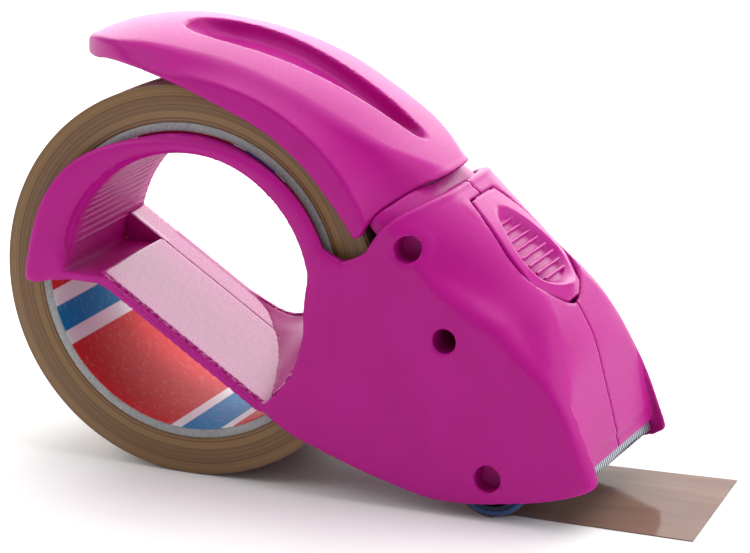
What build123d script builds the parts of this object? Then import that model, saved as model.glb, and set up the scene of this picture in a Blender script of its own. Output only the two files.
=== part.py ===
from build123d import *
import math
import os

# Hand-held packing tape dispenser, millimetres. X runs forward from the roll to the blade, Y across the
# tape to the left, Z up. The dispenser stands on a table: the roll and the drawn-out tape touch Z = 0,
# and the origin is under the middle of the whole object.

# ---------------------------------------------------------------- driving dimensions
# Tape roll
TAPE_WIDTH = 50.0
ROLL_RADIUS = 49.8
CORE_OUTER = 40.4
CORE_BORE = 38.0
LINING = 0.15  # printed paper that lines the core
TAPE_THICKNESS = 0.2
SHEET_GAP = 0.3  # free tape stands this far off the roll and the roller
STRIP_END = 130.0  # forward end of the drawn-out tape, from the roll's axis
STRIP_SKEW = 4.4  # how far the cut end runs back across the width

# Where the roll's axis lies in the row's frame
ROLL_X = (ROLL_RADIUS - STRIP_END - STRIP_SKEW / 2) / 2
ROLL_Z = ROLL_RADIUS

# Case
WALL = 2.2
MOUTH_RELIEF = 0.9  # how much thinner the wall is round the neck's mouth
SIDE = 29.0  # outside of the side walls, from the middle plane
SIDE_INNER = 26.6  # inside of the side walls
CHEEK_INNER = 25.3  # inside of the two cheeks beside the blade
SPINE = 45.6  # slope of the case's back, degrees below forward
FRONT_LEAN = 74.4  # slope of the front face, degrees below forward

# Finger ring through the roll's core
RING_INNER = 32.6
RING_OUTER = 35.4
RING_BUMP = 37.7  # top stretch that carries the core
RING_END = 16.0  # end of the ring inside the roll
CAP_THICKNESS = 1.2
SEAT_SPLIT = 7.6  # joint between the grip plate and the end cap's shelf

# Guard over the roll
GUARD_WALL = 2.2
ROLL_ROOM = 1.8  # clearance round a full roll
GUARD_LIFT_PIVOT = (59.1, 15.9)  # from the roll's axis
NECK_START = -7.0  # the neck starts inside the guard's end, measured along the spine
NECK_WALL = 1.6
NECK_INSET = 3.0  # how far the neck lies below the case's outside
EAR_INNER = 12.9  # the neck's two ears, from the middle plane
EAR_OUTER = 15.3
EAR_RADIUS = 5.4

# Front roller
ROLLER_AT = (81.8, -38.9)
TYRE_RADIUS = 10.4
RIM_RADIUS = 8.8
RIM_WALL = 0.9
ROLLER_HALF = 25.8
AXLE_RADIUS = 2.0
RUNNING = 0.05  # radial play of everything that turns

# Fasteners and pivots
SCREW_AT = (69.6, -5.6)
LOWER_SCREW_AT = (46.6, -34.6)
FRONT_SCREW_AT = (93.6, -21.5)
SCREW_RADIUS = 1.5
SCREW_GRIP = 14.0  # thread in the near half
HEAD_SEAT = 22.0
POST_RADIUS = 3.9
GUARD_PIN_RADIUS = 2.0
GUARD_PIN_HALF = 22.0
RECESS_RADIUS = 3.5
RECESS_FLOOR = 24.0  # each recess's floor, from the middle plane
STUB_END = 21.5
AXLE_HALF = 23.2
PIN_RADIUS = 1.25
BUTTON_PIN_HALF = 12.2
GUIDE_AT = (57.0, -14.4)  # bar behind the tape's sticky face
GUIDE_RADIUS = 2.2
GUIDE_HALF = 22.0
GUIDE_PIN_HALF = 24.5

# Thumb button and blade
BUTTON_TOP = 5.0  # along the spine
BUTTON_END = 39.5
BUTTON_TOP_HALF = 7.2
BUTTON_PLAN = [(10.0, 9.2), (15.5, 10.8), (21.5, 11.9), (26.0, 12.3), (30.5, 11.6), (35.0, 8.6), (38.0, 4.6)]
BUTTON_SWING = 0.9  # the well is this much longer, because the button moves forward as it goes in
BUTTON_GAP = 0.6
BUTTON_WALL = 1.8
BUTTON_PIVOT = (7.2, -4.4)  # along the spine, and out of it
BLADE_WIDTH = 48.6
BLADE_THICKNESS = 0.6
BLADE_HEIGHT = 11.0
BLADE_REACH = 2.4  # how far the teeth stand out of the case
TOOTH_PITCH = 1.35
LIP_THICKNESS = 0.8
BLADE_FACE = -0.9  # blade's outer face, measured out of the front face


# ---------------------------------------------------------------- working planes
def side_plane(y):
    """Side view at distance y: local x forward and local y up from the roll's axis, extruding to the right."""
    return Plane(origin=(ROLL_X, y, ROLL_Z), x_dir=(1, 0, 0), z_dir=(0, -1, 0))


SPINE_TOP = (63.8, 27.4)  # top edge of the case at the neck, from the roll's axis
SPINE_DIR = (math.cos(math.radians(SPINE)), -math.sin(math.radians(SPINE)))
SPINE_OUT = (-SPINE_DIR[1], SPINE_DIR[0])
FRONT_FOOT = (106.1, -35.4)  # bottom edge of the front face
FRONT_DIR = (math.cos(math.radians(FRONT_LEAN)), -math.sin(math.radians(FRONT_LEAN)))
FRONT_OUT = (-FRONT_DIR[1], FRONT_DIR[0])


def framed_side(foot, along, y):
    """Side view whose local x runs along the given direction and local y out of it."""
    origin = (ROLL_X + foot[0], y, ROLL_Z + foot[1])
    return Plane(origin=origin, x_dir=(along[0], 0, along[1]), z_dir=(0, -1, 0))


def spine_side(y):
    return framed_side(SPINE_TOP, SPINE_DIR, y)


def front_side(y):
    return framed_side(FRONT_FOOT, FRONT_DIR, y)


def from_spine(t, s):
    """A point t along the spine and s out of it, measured from the roll's axis."""
    return (
        SPINE_TOP[0] + t * SPINE_DIR[0] + s * SPINE_OUT[0],
        SPINE_TOP[1] + t * SPINE_DIR[1] + s * SPINE_OUT[1],
    )


def from_front(u, v):
    """A point u down the front face and v out of it, measured from the roll's axis."""
    return (
        FRONT_FOOT[0] + u * FRONT_DIR[0] + v * FRONT_OUT[0],
        FRONT_FOOT[1] + u * FRONT_DIR[1] + v * FRONT_OUT[1],
    )


BUTTON_PIVOT_AT = from_spine(*BUTTON_PIVOT)
SPINE_PLAN = Plane(
    origin=(ROLL_X + SPINE_TOP[0], 0, ROLL_Z + SPINE_TOP[1]),
    x_dir=(SPINE_DIR[0], 0, SPINE_DIR[1]),
    z_dir=(SPINE_OUT[0], 0, SPINE_OUT[1]),
)
FRONT_PLAN = Plane(
    origin=(ROLL_X + FRONT_FOOT[0], 0, ROLL_Z + FRONT_FOOT[1]),
    x_dir=(FRONT_DIR[0], 0, FRONT_DIR[1]),
    z_dir=(FRONT_OUT[0], 0, FRONT_OUT[1]),
)


# ---------------------------------------------------------------- case form
BACK = [(63.8, 27.4), (67.7, 24.6), (80.9, 13.6), (92.8, 0.9), (97.3, -6.4)]
CHEEK = [(97.3, -6.4), (100.6, -14.6), (104.4, -23.4), (107.2, -29.6), (109.3, -35.6)]
BELLY = [(107.6, -38.6), (103.3, -40.7), (95.7, -43.0), (85.4, -44.9), (76.0, -46.1), (66.0, -45.9)]
HEEL = [(66.0, -45.9), (53.9, -43.0), (35.1, -36.9), (29.7, -34.8), (23.7, -31.4), (22.4, -28.9)]
# rear edge of the case round the neck, along the spine and out of it
MOUTH = [(-2.2, -17.0), (-2.8, -13.0), (-2.9, -10.6), (-2.6, -7.7), (-1.8, -4.6), (-1.0, -2.1)]
# stations of the shoulder: along the spine, half width of the flat back, its height, height at the side
SHOULDER = [
    (-16.0, 12.5, 0.0, -15.0),
    (8.0, 12.8, 1.1, -13.8),
    (35.0, 15.5, 2.0, -5.4),
    (48.0, 19.0, 0.2, -6.0),
    (58.0, 25.5, -5.0, -7.6),
    (70.0, 28.0, -11.5, -11.8),
]


def shoulder_cut(hand, inset):
    """What the sloping shoulder takes off one side of the case; inset moves its surface inwards."""
    with BuildPart() as cut:
        for t, flat, top, ridge in SHOULDER:
            origin = from_spine(t, 0)
            station = Plane(
                origin=(ROLL_X + origin[0], 0, ROLL_Z + origin[1]),
                x_dir=(0, hand, 0),
                z_dir=(hand * SPINE_DIR[0], 0, hand * SPINE_DIR[1]),
            )
            with BuildSketch(station):
                with BuildLine():
                    Polyline(
                        (flat - inset * 0.35, top - inset * 0.9),
                        (SIDE + 0.5 - inset, ridge - inset * 0.9),
                        (SIDE + 12, ridge - inset * 0.9),
                        (SIDE + 12, top + 25),
                        (flat - inset * 0.35, top + 25),
                        close=True,
                    )
                make_face()
        loft(ruled=True)
    return cut.part


def case_form(hand):
    """Solid form of one half of the case, from the middle plane to the outside of its side wall."""
    with BuildPart() as form:
        with BuildSketch(side_plane(0 if hand < 0 else SIDE)):
            with BuildLine():
                Spline(*BACK)
                Spline(*CHEEK)
                ThreePointArc(CHEEK[-1], (109.4, -37.6), BELLY[0])
                Spline(*BELLY)
                Spline(*HEEL)
                Polyline(HEEL[-1], (31.8, -15.0), (34.0, -5.0), (37.4, 12.6), (42.4, 11.0), (47.6, 13.6))
                Polyline((47.6, 13.6), *[from_spine(*p) for p in MOUTH], SPINE_TOP)
            make_face()
        extrude(amount=SIDE)
        add(shoulder_cut(hand, 0), mode=Mode.SUBTRACT)
        # the front face lies back between the cheeks
        with BuildSketch(side_plane(0 if hand < 0 else CHEEK_INNER)):
            Polygon(BACK[-1], from_front(-23, 0), from_front(20, 0), (140, -60), (140, 10), align=None)
        extrude(amount=CHEEK_INNER, mode=Mode.SUBTRACT)
    return form.part


def inner_back(inset):
    """The line of the case's back, moved inwards."""
    points = []
    for before, here, after in zip(BACK, BACK[1:], BACK[2:]):
        run = (after[0] - before[0], after[1] - before[1])
        length = math.hypot(*run)
        points.append((here[0] + inset * run[1] / length, here[1] - inset * run[0] / length))
    return points


def case_void(hand, inset):
    """The hollow of one half of the case, open to the neck, the roll and the table."""
    with BuildPart() as void:
        with BuildSketch(side_plane(0 if hand < 0 else SIDE_INNER)):
            with BuildLine():
                Polyline(
                    from_front(-21, -inset),
                    from_front(8, -inset),
                    (100, -70),
                    (10, -70),
                    (-20, 0),
                    (20, 40),
                    from_spine(-12, -inset),
                    from_spine(-1, -inset),
                )
                Spline(from_spine(-1, -inset), *inner_back(inset), from_front(-21, -inset))
            make_face()
        extrude(amount=SIDE_INNER)
        add(shoulder_cut(hand, inset), mode=Mode.SUBTRACT)
    return void.part


def mouth_relief(hand):
    """The thinner stretch of wall round the neck's mouth, which leaves the rising neck its room."""
    with BuildPart() as relief:
        add(case_void(hand, WALL - MOUTH_RELIEF))
        with BuildSketch(side_plane(0 if hand < 0 else SIDE_INNER)):
            Polygon(*[from_spine(*p) for p in ((-14, 6), (7, 6), (7, -26), (-14, -26))], align=None)
        extrude(amount=SIDE_INNER, mode=Mode.INTERSECT)
    return relief.part


# ---------------------------------------------------------------- finger ring
SEAT_LINE = [(-22.1, 0.4), (21.7, -27.6)]  # top of the grip plate, rear to front
SEAT_RUN = (SEAT_LINE[1][0] - SEAT_LINE[0][0], SEAT_LINE[1][1] - SEAT_LINE[0][1])
SEAT_LENGTH = math.hypot(*SEAT_RUN)
SEAT_DIR = (SEAT_RUN[0] / SEAT_LENGTH, SEAT_RUN[1] / SEAT_LENGTH)
PLATE_THICKNESS = 1.2
FLOOR_THICKNESS = 1.2
SHELF_THICKNESS = 2.4
SHELF_START = -13.0  # the end cap's shelf starts this far behind the grip plate
SHELF_WALL = 1.2
JOINT_GAP = 0.05  # play between the plate, the cap and the ring


def seat_side(y):
    return framed_side(SEAT_LINE[0], SEAT_DIR, y)


def from_seat(t, s):
    """A point t along the seat line and s above it, measured from the roll's axis."""
    return (
        SEAT_LINE[0][0] + t * SEAT_DIR[0] - s * SEAT_DIR[1],
        SEAT_LINE[0][1] + t * SEAT_DIR[1] + s * SEAT_DIR[0],
    )


FLOOR_Z = -1.2  # floor behind the grip plate
# lower front corner of the finger hole
HOLE_CORNER = [(20, 0), (33.0, -4.0), (31.4, -15.0), (28.0, -22.6), (22.4, -28.9), (0, -12)]
# side view of what lies below the ring and its flange
BELOW_RING = [(-60, FLOOR_Z), (-20, FLOOR_Z), (25.2, -30.1), (60, -60), (-60, -60)]
BELOW_FLANGE = [(-60, -4.2), (-36, -4.2), (-33, FLOOR_Z), (0, FLOOR_Z), (30, -5), (60, -60), (-60, -60)]


def ring_sector(radius):
    """Side view of the ring's round stretch: a disc without the part below the grip plate."""
    Circle(radius)
    Polygon(*BELOW_RING, align=None, mode=Mode.SUBTRACT)


def finger_hole(start, depth):
    """The opening that the fingers go through, as a solid."""
    with BuildPart() as hole:
        with BuildSketch(side_plane(start)):
            Circle(RING_INNER)
            with BuildLine():
                Polyline(*HOLE_CORNER, close=True)
            make_face()
            with BuildLine():
                Polyline((-60, FLOOR_Z), (-20.8, FLOOR_Z), *SEAT_LINE, (24, -60), (-60, -60), close=True)
            make_face(mode=Mode.SUBTRACT)
        extrude(amount=depth)
    return hole.part


RIB_COUNT = 46
RIB_RADIUS = 0.55
RIB_AIM = []
for k in range(RIB_COUNT):
    angle = math.radians(62.0 + 100.0 * k / (RIB_COUNT - 1))
    RIB_AIM.append((math.cos(angle), math.sin(angle)))


# side views of the gusset at three places across the tape: right-hand end, middle and far end
GUSSET = [
    (-SIDE_INNER, [(22.2, -28.4), (27.9, -22.4), (31.2, -15.2), (33.0, -6.4), (35.0, -8.0), (24.5, -30.2)]),
    (0.0, [(13.8, -22.6), (20.4, -20.8), (25.6, -15.4), (32.6, -5.6), (35.0, -6.6), (23.0, -29.2)]),
    (RING_END, [(0.8, -14.2), (8.9, -17.8), (14.3, -17.1), (31.8, -5.0), (35.0, -6.0), (21.5, -28.1)]),
]


def ring_gusset():
    """Curved web that closes the lower front corner of the finger tunnel towards the far end."""
    with BuildPart() as gusset:
        for y, corners in GUSSET:
            with BuildSketch(side_plane(y)):
                Polygon(*corners, align=None)
        loft(ruled=True)
    return gusset.part


# ---------------------------------------------------------------- bosses, well and pocket
SCREWS = [SCREW_AT, LOWER_SCREW_AT, FRONT_SCREW_AT]


def boss(hand, at, radius, low, high):
    """A cylinder across the tape on one hand, from low to high away from the middle plane."""
    with BuildPart() as post:
        with BuildSketch(side_plane(-low if hand < 0 else high)):
            with Locations(at):
                Circle(radius)
        extrude(amount=high - low)
    return post.part


def rod(at, radius, half):
    """A round bar right across the tape."""
    with BuildPart() as bar:
        with BuildSketch(side_plane(half)):
            with Locations(at):
                Circle(radius)
        extrude(amount=2 * half)
    return bar.part


def bosses(hand):
    """Bosses of one half, trimmed to the case's outside."""
    with BuildPart() as group:
        add(boss(hand, GUARD_LIFT_PIVOT, GUARD_PIN_RADIUS + 2, EAR_OUTER + 0.5, SIDE_INNER + 1))
        add(boss(hand, GUARD_LIFT_PIVOT, RECESS_RADIUS + 1.2, RECESS_FLOOR - 1.8, SIDE_INNER + 1))
        add(boss(hand, ROLLER_AT, RECESS_RADIUS + 1.4, STUB_END, SIDE_INNER + 1))
        add(boss(hand, GUIDE_AT, PIN_RADIUS + 0.9, GUIDE_HALF + 0.3, SIDE_INNER + 1))
        for at in SCREWS:
            add(boss(hand, at, POST_RADIUS, 0, SIDE_INNER + 1))
        # hanger of the button's pin
        with BuildSketch(spine_side(-10.0 if hand < 0 else 12.4)):
            with Locations(BUTTON_PIVOT):
                Circle(PIN_RADIUS + 1.2)
            with Locations((BUTTON_PIVOT[0], BUTTON_PIVOT[1] + 2)):
                Rectangle(2 * PIN_RADIUS + 2.4, 4)
        extrude(amount=2.4)
        add(case_form(hand), mode=Mode.INTERSECT)
    return group.part


def boss_holes(hand):
    """Recesses, pilot holes and sockets of one half."""
    with BuildPart() as group:
        add(boss(hand, GUARD_LIFT_PIVOT, RECESS_RADIUS, RECESS_FLOOR, SIDE + 2))
        add(boss(hand, GUARD_LIFT_PIVOT, GUARD_PIN_RADIUS, 0, GUARD_PIN_HALF))
        add(boss(hand, ROLLER_AT, RECESS_RADIUS, RECESS_FLOOR, SIDE + 2))
        add(boss(hand, ROLLER_AT, AXLE_RADIUS, 0, AXLE_HALF))
        add(boss(hand, BUTTON_PIVOT_AT, PIN_RADIUS, 0, BUTTON_PIN_HALF))
        add(boss(hand, GUIDE_AT, PIN_RADIUS, 0, GUIDE_PIN_HALF))
        if hand < 0:
            add(boss(hand, SCREW_AT, RECESS_RADIUS - 0.3, RECESS_FLOOR, SIDE + 2))
        for at in SCREWS:
            if hand < 0:
                add(boss(hand, at, SCREW_RADIUS, 0, SCREW_GRIP))
            else:
                add(boss(hand, at, SCREW_RADIUS + 0.2, 0, SIDE + 2))
                add(boss(hand, at, RECESS_RADIUS - 0.3, HEAD_SEAT, SIDE + 2))
    return group.part


def button_outline(gap, swing=0.0):
    """Plan of the thumb button: narrow and square at its hinge, a leaf's tip at its free end."""
    right = [(t + swing, -half - gap) for t, half in BUTTON_PLAN]
    left = [(t + swing, half + gap) for t, half in reversed(BUTTON_PLAN)]
    first = (BUTTON_TOP - gap, -BUTTON_TOP_HALF - gap)
    last = (BUTTON_TOP - gap, BUTTON_TOP_HALF + gap)
    with BuildSketch(SPINE_PLAN) as outline:
        end = BUTTON_END + gap + swing
        Polygon(first, *right, (end, -1.0), (end, 1.0), *left, last, align=None)
    return outline.sketch


def button_well():
    """The opening in the case's back that the button sits in."""
    with BuildPart() as well:
        for swing in (0.0, BUTTON_SWING):
            extrude(button_outline(BUTTON_GAP, swing), amount=12)
            extrude(button_outline(BUTTON_GAP, swing), amount=-3)
    return well.part


def blade_pocket():
    """Thinner stretch of the front wall that the blade slides behind."""
    with BuildPart() as pocket:
        with BuildSketch(front_side(SIDE_INNER - 0.9)):
            inner = -WALL - 1
            Polygon((-16, -LIP_THICKNESS), (6, -LIP_THICKNESS), (6, inner), (-16, inner), align=None)
        extrude(amount=2 * (SIDE_INNER - 0.9))
        # the front wall stops short of the cheeks' feet
        with BuildSketch(front_side(CHEEK_INNER)):
            Polygon((0, 1), (8, 1), (8, -WALL - 1), (0, -WALL - 1), align=None)
        extrude(amount=2 * CHEEK_INNER)
    return pocket.part


# =============================================================== near half of the case
with BuildPart() as near_shell:
    add(case_form(-1))
    # ring flange over the side of the roll
    with BuildSketch(side_plane(-SIDE_INNER)):
        with Locations((-2, 0)):
            Ellipse(42, 37.3)
        with BuildLine():
            Polyline(*BELOW_FLANGE, close=True)
        make_face(mode=Mode.SUBTRACT)
    extrude(amount=SIDE - SIDE_INNER)
    # hollow between the side wall and the middle plane
    add(case_void(-1, WALL), mode=Mode.SUBTRACT)
    add(mouth_relief(-1), mode=Mode.SUBTRACT)
    # barrel of the ring, its bump under the core, and the floor behind the grip plate
    with BuildSketch(side_plane(RING_END)):
        ring_sector(RING_OUTER)
    extrude(amount=RING_END + SIDE)
    with BuildSketch(side_plane(RING_END)):
        Circle(RING_BUMP)
        with BuildLine():
            Polyline((0, 0), (-22, 50), (-80, 50), (-80, -80), (80, -80), (80, 46), close=True)
        make_face(mode=Mode.SUBTRACT)
    extrude(amount=RING_END + SIDE_INNER)
    with BuildSketch(side_plane(SEAT_SPLIT)):
        Polygon((-34.6, -0.5), (-34.9, -2.6), (-17.5, -2.6), (-19, -1.5), SEAT_LINE[0], align=None)
    extrude(amount=SEAT_SPLIT + SIDE_INNER - 1.0)
    with BuildSketch(side_plane(-SIDE_INNER + 1.0)):
        Polygon((-34.6, -0.5), (-22.1, 0.4), (-19.5, -2.6), (-36, -2.6), align=None)
    extrude(amount=SIDE - SIDE_INNER + 1.0)
    # floor that the grip plate lies on
    with BuildSketch(seat_side(SEAT_SPLIT)):
        Polygon(
            (0, -PLATE_THICKNESS),
            (SEAT_LENGTH + 2, -PLATE_THICKNESS),
            (SEAT_LENGTH + 1, -PLATE_THICKNESS - FLOOR_THICKNESS),
            (0, -PLATE_THICKNESS - FLOOR_THICKNESS),
            align=None,
        )
    extrude(amount=SEAT_SPLIT + SIDE_INNER + 0.8)
    add(finger_hole(RING_END + 10, RING_END + 10 + SIDE + 10), mode=Mode.SUBTRACT)
    # gusset between the ring and the case
    add(ring_gusset())
    # room for the roll
    with BuildSketch(side_plane(SIDE)):
        Circle(ROLL_RADIUS + ROLL_ROOM)
        Circle(RING_BUMP, mode=Mode.SUBTRACT)
    extrude(amount=SIDE + SIDE_INNER, mode=Mode.SUBTRACT)
    # space of the grip plate and of the end cap's shelf
    with BuildSketch(seat_side(RING_END)):
        Polygon(
            (0, 0),
            (SEAT_LENGTH + 1.4, 0),
            (SEAT_LENGTH + 1.4, -PLATE_THICKNESS),
            (0, -PLATE_THICKNESS),
            align=None,
        )
    extrude(amount=RING_END + SIDE_INNER + 0.8, mode=Mode.SUBTRACT)
    # grip ribs inside the ring
    with BuildSketch(side_plane(RING_END)):
        for k in range(RIB_COUNT):
            with Locations((RING_INNER + 0.15) * Vector(*RIB_AIM[k])):
                Circle(RIB_RADIUS)
    extrude(amount=RING_END + SIDE_INNER)
    # axle, pivot and screw bosses
    add(bosses(-1))
    add(boss_holes(-1), mode=Mode.SUBTRACT)
    add(button_well(), mode=Mode.SUBTRACT)
    add(blade_pocket(), mode=Mode.SUBTRACT)


# =============================================================== far half of the case
with BuildPart() as far_shell:
    add(case_form(1))
    add(case_void(1, WALL), mode=Mode.SUBTRACT)
    add(mouth_relief(1), mode=Mode.SUBTRACT)
    # the far side is open round the roll, which slides on from here
    with BuildSketch(side_plane(SIDE)):
        Circle(ROLL_RADIUS + ROLL_ROOM)
    extrude(amount=SIDE, mode=Mode.SUBTRACT)
    add(bosses(1))
    add(boss_holes(1), mode=Mode.SUBTRACT)
    add(button_well(), mode=Mode.SUBTRACT)
    add(blade_pocket(), mode=Mode.SUBTRACT)

# =============================================================== grip plate and ring end cap
with BuildPart() as grip_plate:
    with BuildSketch(seat_side(SEAT_SPLIT - JOINT_GAP)):
        Polygon(
            (JOINT_GAP, 0),
            (SEAT_LENGTH + 1.0, 0),
            (SEAT_LENGTH + 1.0, -PLATE_THICKNESS),
            (JOINT_GAP, -PLATE_THICKNESS),
            align=None,
        )
    extrude(amount=SEAT_SPLIT + SIDE_INNER + 0.6)

with BuildPart() as ring_cap:
    # end plate over the far end of the ring, its floor and its gusset
    with BuildSketch(side_plane(RING_END + CAP_THICKNESS)):
        ring_sector(RING_OUTER)
        Circle(RING_INNER, mode=Mode.SUBTRACT)
        Polygon((-35.3, -1.2), (-35.1, -2.6), (-18.3, -2.6), SEAT_LINE[0], (-32.5, 0.4), align=None)
        Polygon(*GUSSET[-1][1], align=None)
    extrude(amount=CAP_THICKNESS)
    # shelf that carries on the grip plate's surface, and reaches back to the ring over the floor
    with BuildSketch(seat_side(RING_END + CAP_THICKNESS)):
        Polygon(
            (0, 0),
            (SEAT_LENGTH - 0.6, 0),
            (SEAT_LENGTH - 1.6, -SHELF_THICKNESS),
            (0, -SHELF_THICKNESS),
            align=None,
        )
    extrude(amount=RING_END + CAP_THICKNESS - SEAT_SPLIT - JOINT_GAP)
    with BuildSketch(side_plane(RING_END + CAP_THICKNESS)):
        Circle(RING_INNER - JOINT_GAP)
        Polygon(
            from_seat(SHELF_START, 0),
            from_seat(0, 0),
            from_seat(0, -SHELF_THICKNESS),
            from_seat(SHELF_START, -SHELF_THICKNESS),
            align=None,
            mode=Mode.INTERSECT,
        )
    extrude(amount=RING_END + CAP_THICKNESS - SEAT_SPLIT - JOINT_GAP)
    # side wall under the shelf
    with BuildSketch(side_plane(SEAT_SPLIT + JOINT_GAP + SHELF_WALL)):
        Circle(RING_INNER - JOINT_GAP)
        Polygon(
            from_seat(SHELF_START, 0),
            from_seat(1.5, 0),
            from_seat(1.5, -SHELF_THICKNESS),
            (-36.0, FLOOR_Z + JOINT_GAP),
            align=None,
            mode=Mode.INTERSECT,
        )
    extrude(amount=SHELF_WALL)
    add(ring_gusset(), mode=Mode.SUBTRACT)


# =============================================================== guard over the roll
# stations round the roll: angle, radius of the crown, half width and radius of the crease, half width
# of the side wall at its lower edge
GUARD_STATIONS = [
    (134.0, 71.0, 20.0, 67.5, 25.0),
    (125.9, 66.9, 20.5, 65.0, 26.0),
    (118.0, 65.7, 20.8, 63.7, 26.8),
    (108.7, 63.4, 21.2, 61.3, 27.4),
    (94.1, 60.0, 22.2, 57.7, 28.0),
    (79.6, 58.4, 22.5, 56.1, 28.0),
    (65.2, 58.3, 22.4, 56.1, 28.0),
    (50.3, 60.1, 21.0, 57.8, 28.0),
    (37.6, 63.4, 18.5, 61.9, 28.0),
    (27.1, 68.1, 13.5, 67.5, 28.0),
    (15.0, 73.4, 9.0, 72.8, 28.0),
]
# end face of the guard at the neck, along the spine and out of it
GUARD_END = [(-3.4, 30.0), (-3.4, 1.0), (-4.0, -0.4), (-5.0, -2.7), (-5.9, -6.0), (-6.3, -9.0)]
GUARD_END += [(-6.5, -12.0), (-6.0, -15.5), (-5.5, -20.0), (-5.5, -60.0)]
GUARD_FOOT = 46.0  # the side walls reach this far in before they are trimmed
GUARD_BEND = 52.0  # radius at which the side walls start to lean inwards
GUARD_EDGE = [(46.4, 17.3), (44.7, 16.7), (42.3, 20.3), (36.7, 27.3), (29.9, 34.3), (19.7, 41.4)]
GUARD_EDGE += [(6.0, 46.9), (-5.7, 50.6), (-16.0, 52.5), (-25.0, 52.6), (-31.0, 51.4), (-37.0, 50.6), (-40, 50.6)]
GUARD_ROOM_HALF = 26.3  # half width of the room for the roll
GUARD_PLAN = [(-38.2, 0), (-37.4, 4.5), (-35, 9.0), (-30, 15.0)]
GUARD_PLAN += [(-24, 19.8), (-15, 24.2), (-5, 26.8), (10, 28.1)]
SCOOP_PLAN = [(-9.0, 6.5), (-3.0, 9.6), (5.0, 10.0), (15.0, 9.0)]
SCOOP_PLAN += [(25.0, 7.4), (35.0, 5.8), (45.0, 4.2), (52.5, 2.4)]
SCOOP_FLOOR = [(-12.0, 58.5), (-6.0, 54.8), (5.0, 53.0), (15.0, 51.2)]
SCOOP_FLOOR += [(25.0, 47.4), (35.0, 42.3), (45.0, 37.4), (54.0, 36.2)]


def guard_form(inset):
    """Solid form of the guard; inset moves its surface inwards."""
    with BuildPart() as form:
        for angle, crown, crease, shoulder, wall in GUARD_STATIONS:
            aim = (math.cos(math.radians(angle)), math.sin(math.radians(angle)))
            station = Plane(origin=(ROLL_X, 0, ROLL_Z), x_dir=(0, 1, 0), z_dir=(aim[1], 0, -aim[0]))
            with BuildSketch(station):
                with BuildLine():
                    Polyline(
                        (wall - inset, GUARD_FOOT),
                        (wall - 0.4 - inset, GUARD_BEND - 0.4 * inset),
                        (crease - inset * 0.7, shoulder - inset),
                        (crease * 0.45, crown - (crown - shoulder) * 0.2 - inset),
                        (0, crown - inset),
                        (-crease * 0.45, crown - (crown - shoulder) * 0.2 - inset),
                        (-crease + inset * 0.7, shoulder - inset),
                        (-wall + 0.4 + inset, GUARD_BEND - 0.4 * inset),
                        (-wall + inset, GUARD_FOOT),
                        close=True,
                    )
                make_face()
        loft(ruled=True)
        # plan outline, pointed over the back of the roll
        with BuildSketch(Plane(origin=(ROLL_X, 0, ROLL_Z))):
            with BuildLine():
                right = [(x + inset, -y + inset * 0.6) for x, y in GUARD_PLAN[1:]]
                left = [(x + inset, y - inset * 0.6) for x, y in reversed(GUARD_PLAN[1:])]
                nose = (GUARD_PLAN[0][0] + inset, 0)
                Polyline(nose, *right, (75, -28.1 + inset), (75, 28.1 - inset), *left, close=True)
            make_face()
        extrude(amount=80, mode=Mode.INTERSECT)
        # end face along the case's mouth
        with BuildSketch(spine_side(40)):
            Polygon(*[(t - inset, out) for t, out in GUARD_END], (60, -60), (60, 30), align=None)
        extrude(amount=80, mode=Mode.SUBTRACT)
    return form.part


def scoop(grow, drop):
    """The long drop-shaped scoop in the guard's crown; grow widens it, drop lowers its floor."""
    with BuildPart() as hollow:
        with BuildSketch(Plane(origin=(ROLL_X, 0, ROLL_Z + 80))):
            with BuildLine():
                rim = [(x, y + grow) for x, y in SCOOP_PLAN]
                back = (rim[0][0] - 3 - grow, 0)
                tip = (rim[-1][0] + 2 + grow, 0)
                mirrored = [(x, -y) for x, y in reversed(rim)]
                Spline(back, *rim, tip, *mirrored, periodic=True)
            make_face()
        extrude(amount=-60)
        with BuildSketch(side_plane(40)):
            with BuildLine():
                floor = [(x, z - drop) for x, z in SCOOP_FLOOR]
                rear = -20 - grow
                front = 60 + grow
                Polyline(
                    (rear, 90),
                    (rear, floor[0][1] + 3),
                    *floor,
                    (front, 37 - drop),
                    (front, 90),
                    close=True,
                )
            make_face()
        extrude(amount=80, mode=Mode.INTERSECT)
    return hollow.part


with BuildPart() as guard:
    add(guard_form(0))
    add(guard_form(GUARD_WALL) - scoop(1.6, 1.6), mode=Mode.SUBTRACT)
    add(scoop(0, 0), mode=Mode.SUBTRACT)
    # lower edge, and the room for a full roll
    with BuildSketch(side_plane(40)):
        Polygon(*GUARD_EDGE, (-80, 50.6), (-80, -60), (80, -60), (80, 17.3), align=None)
    extrude(amount=80, mode=Mode.SUBTRACT)
    with BuildSketch(side_plane(GUARD_ROOM_HALF)):
        Circle(ROLL_RADIUS + ROLL_ROOM)
    extrude(amount=2 * GUARD_ROOM_HALF, mode=Mode.SUBTRACT)


def neck_form(inset, start, end):
    """The case's section between two places along the spine, moved inwards."""
    with BuildPart() as form:
        with BuildSketch(spine_side(SIDE - inset)):
            Polygon((start, -inset), (end, -inset), (end, -16.2), (start, -16.2), align=None)
        extrude(amount=2 * (SIDE - inset))
        add(shoulder_cut(1, inset), mode=Mode.SUBTRACT)
        add(shoulder_cut(-1, inset), mode=Mode.SUBTRACT)
    return form.part


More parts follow.
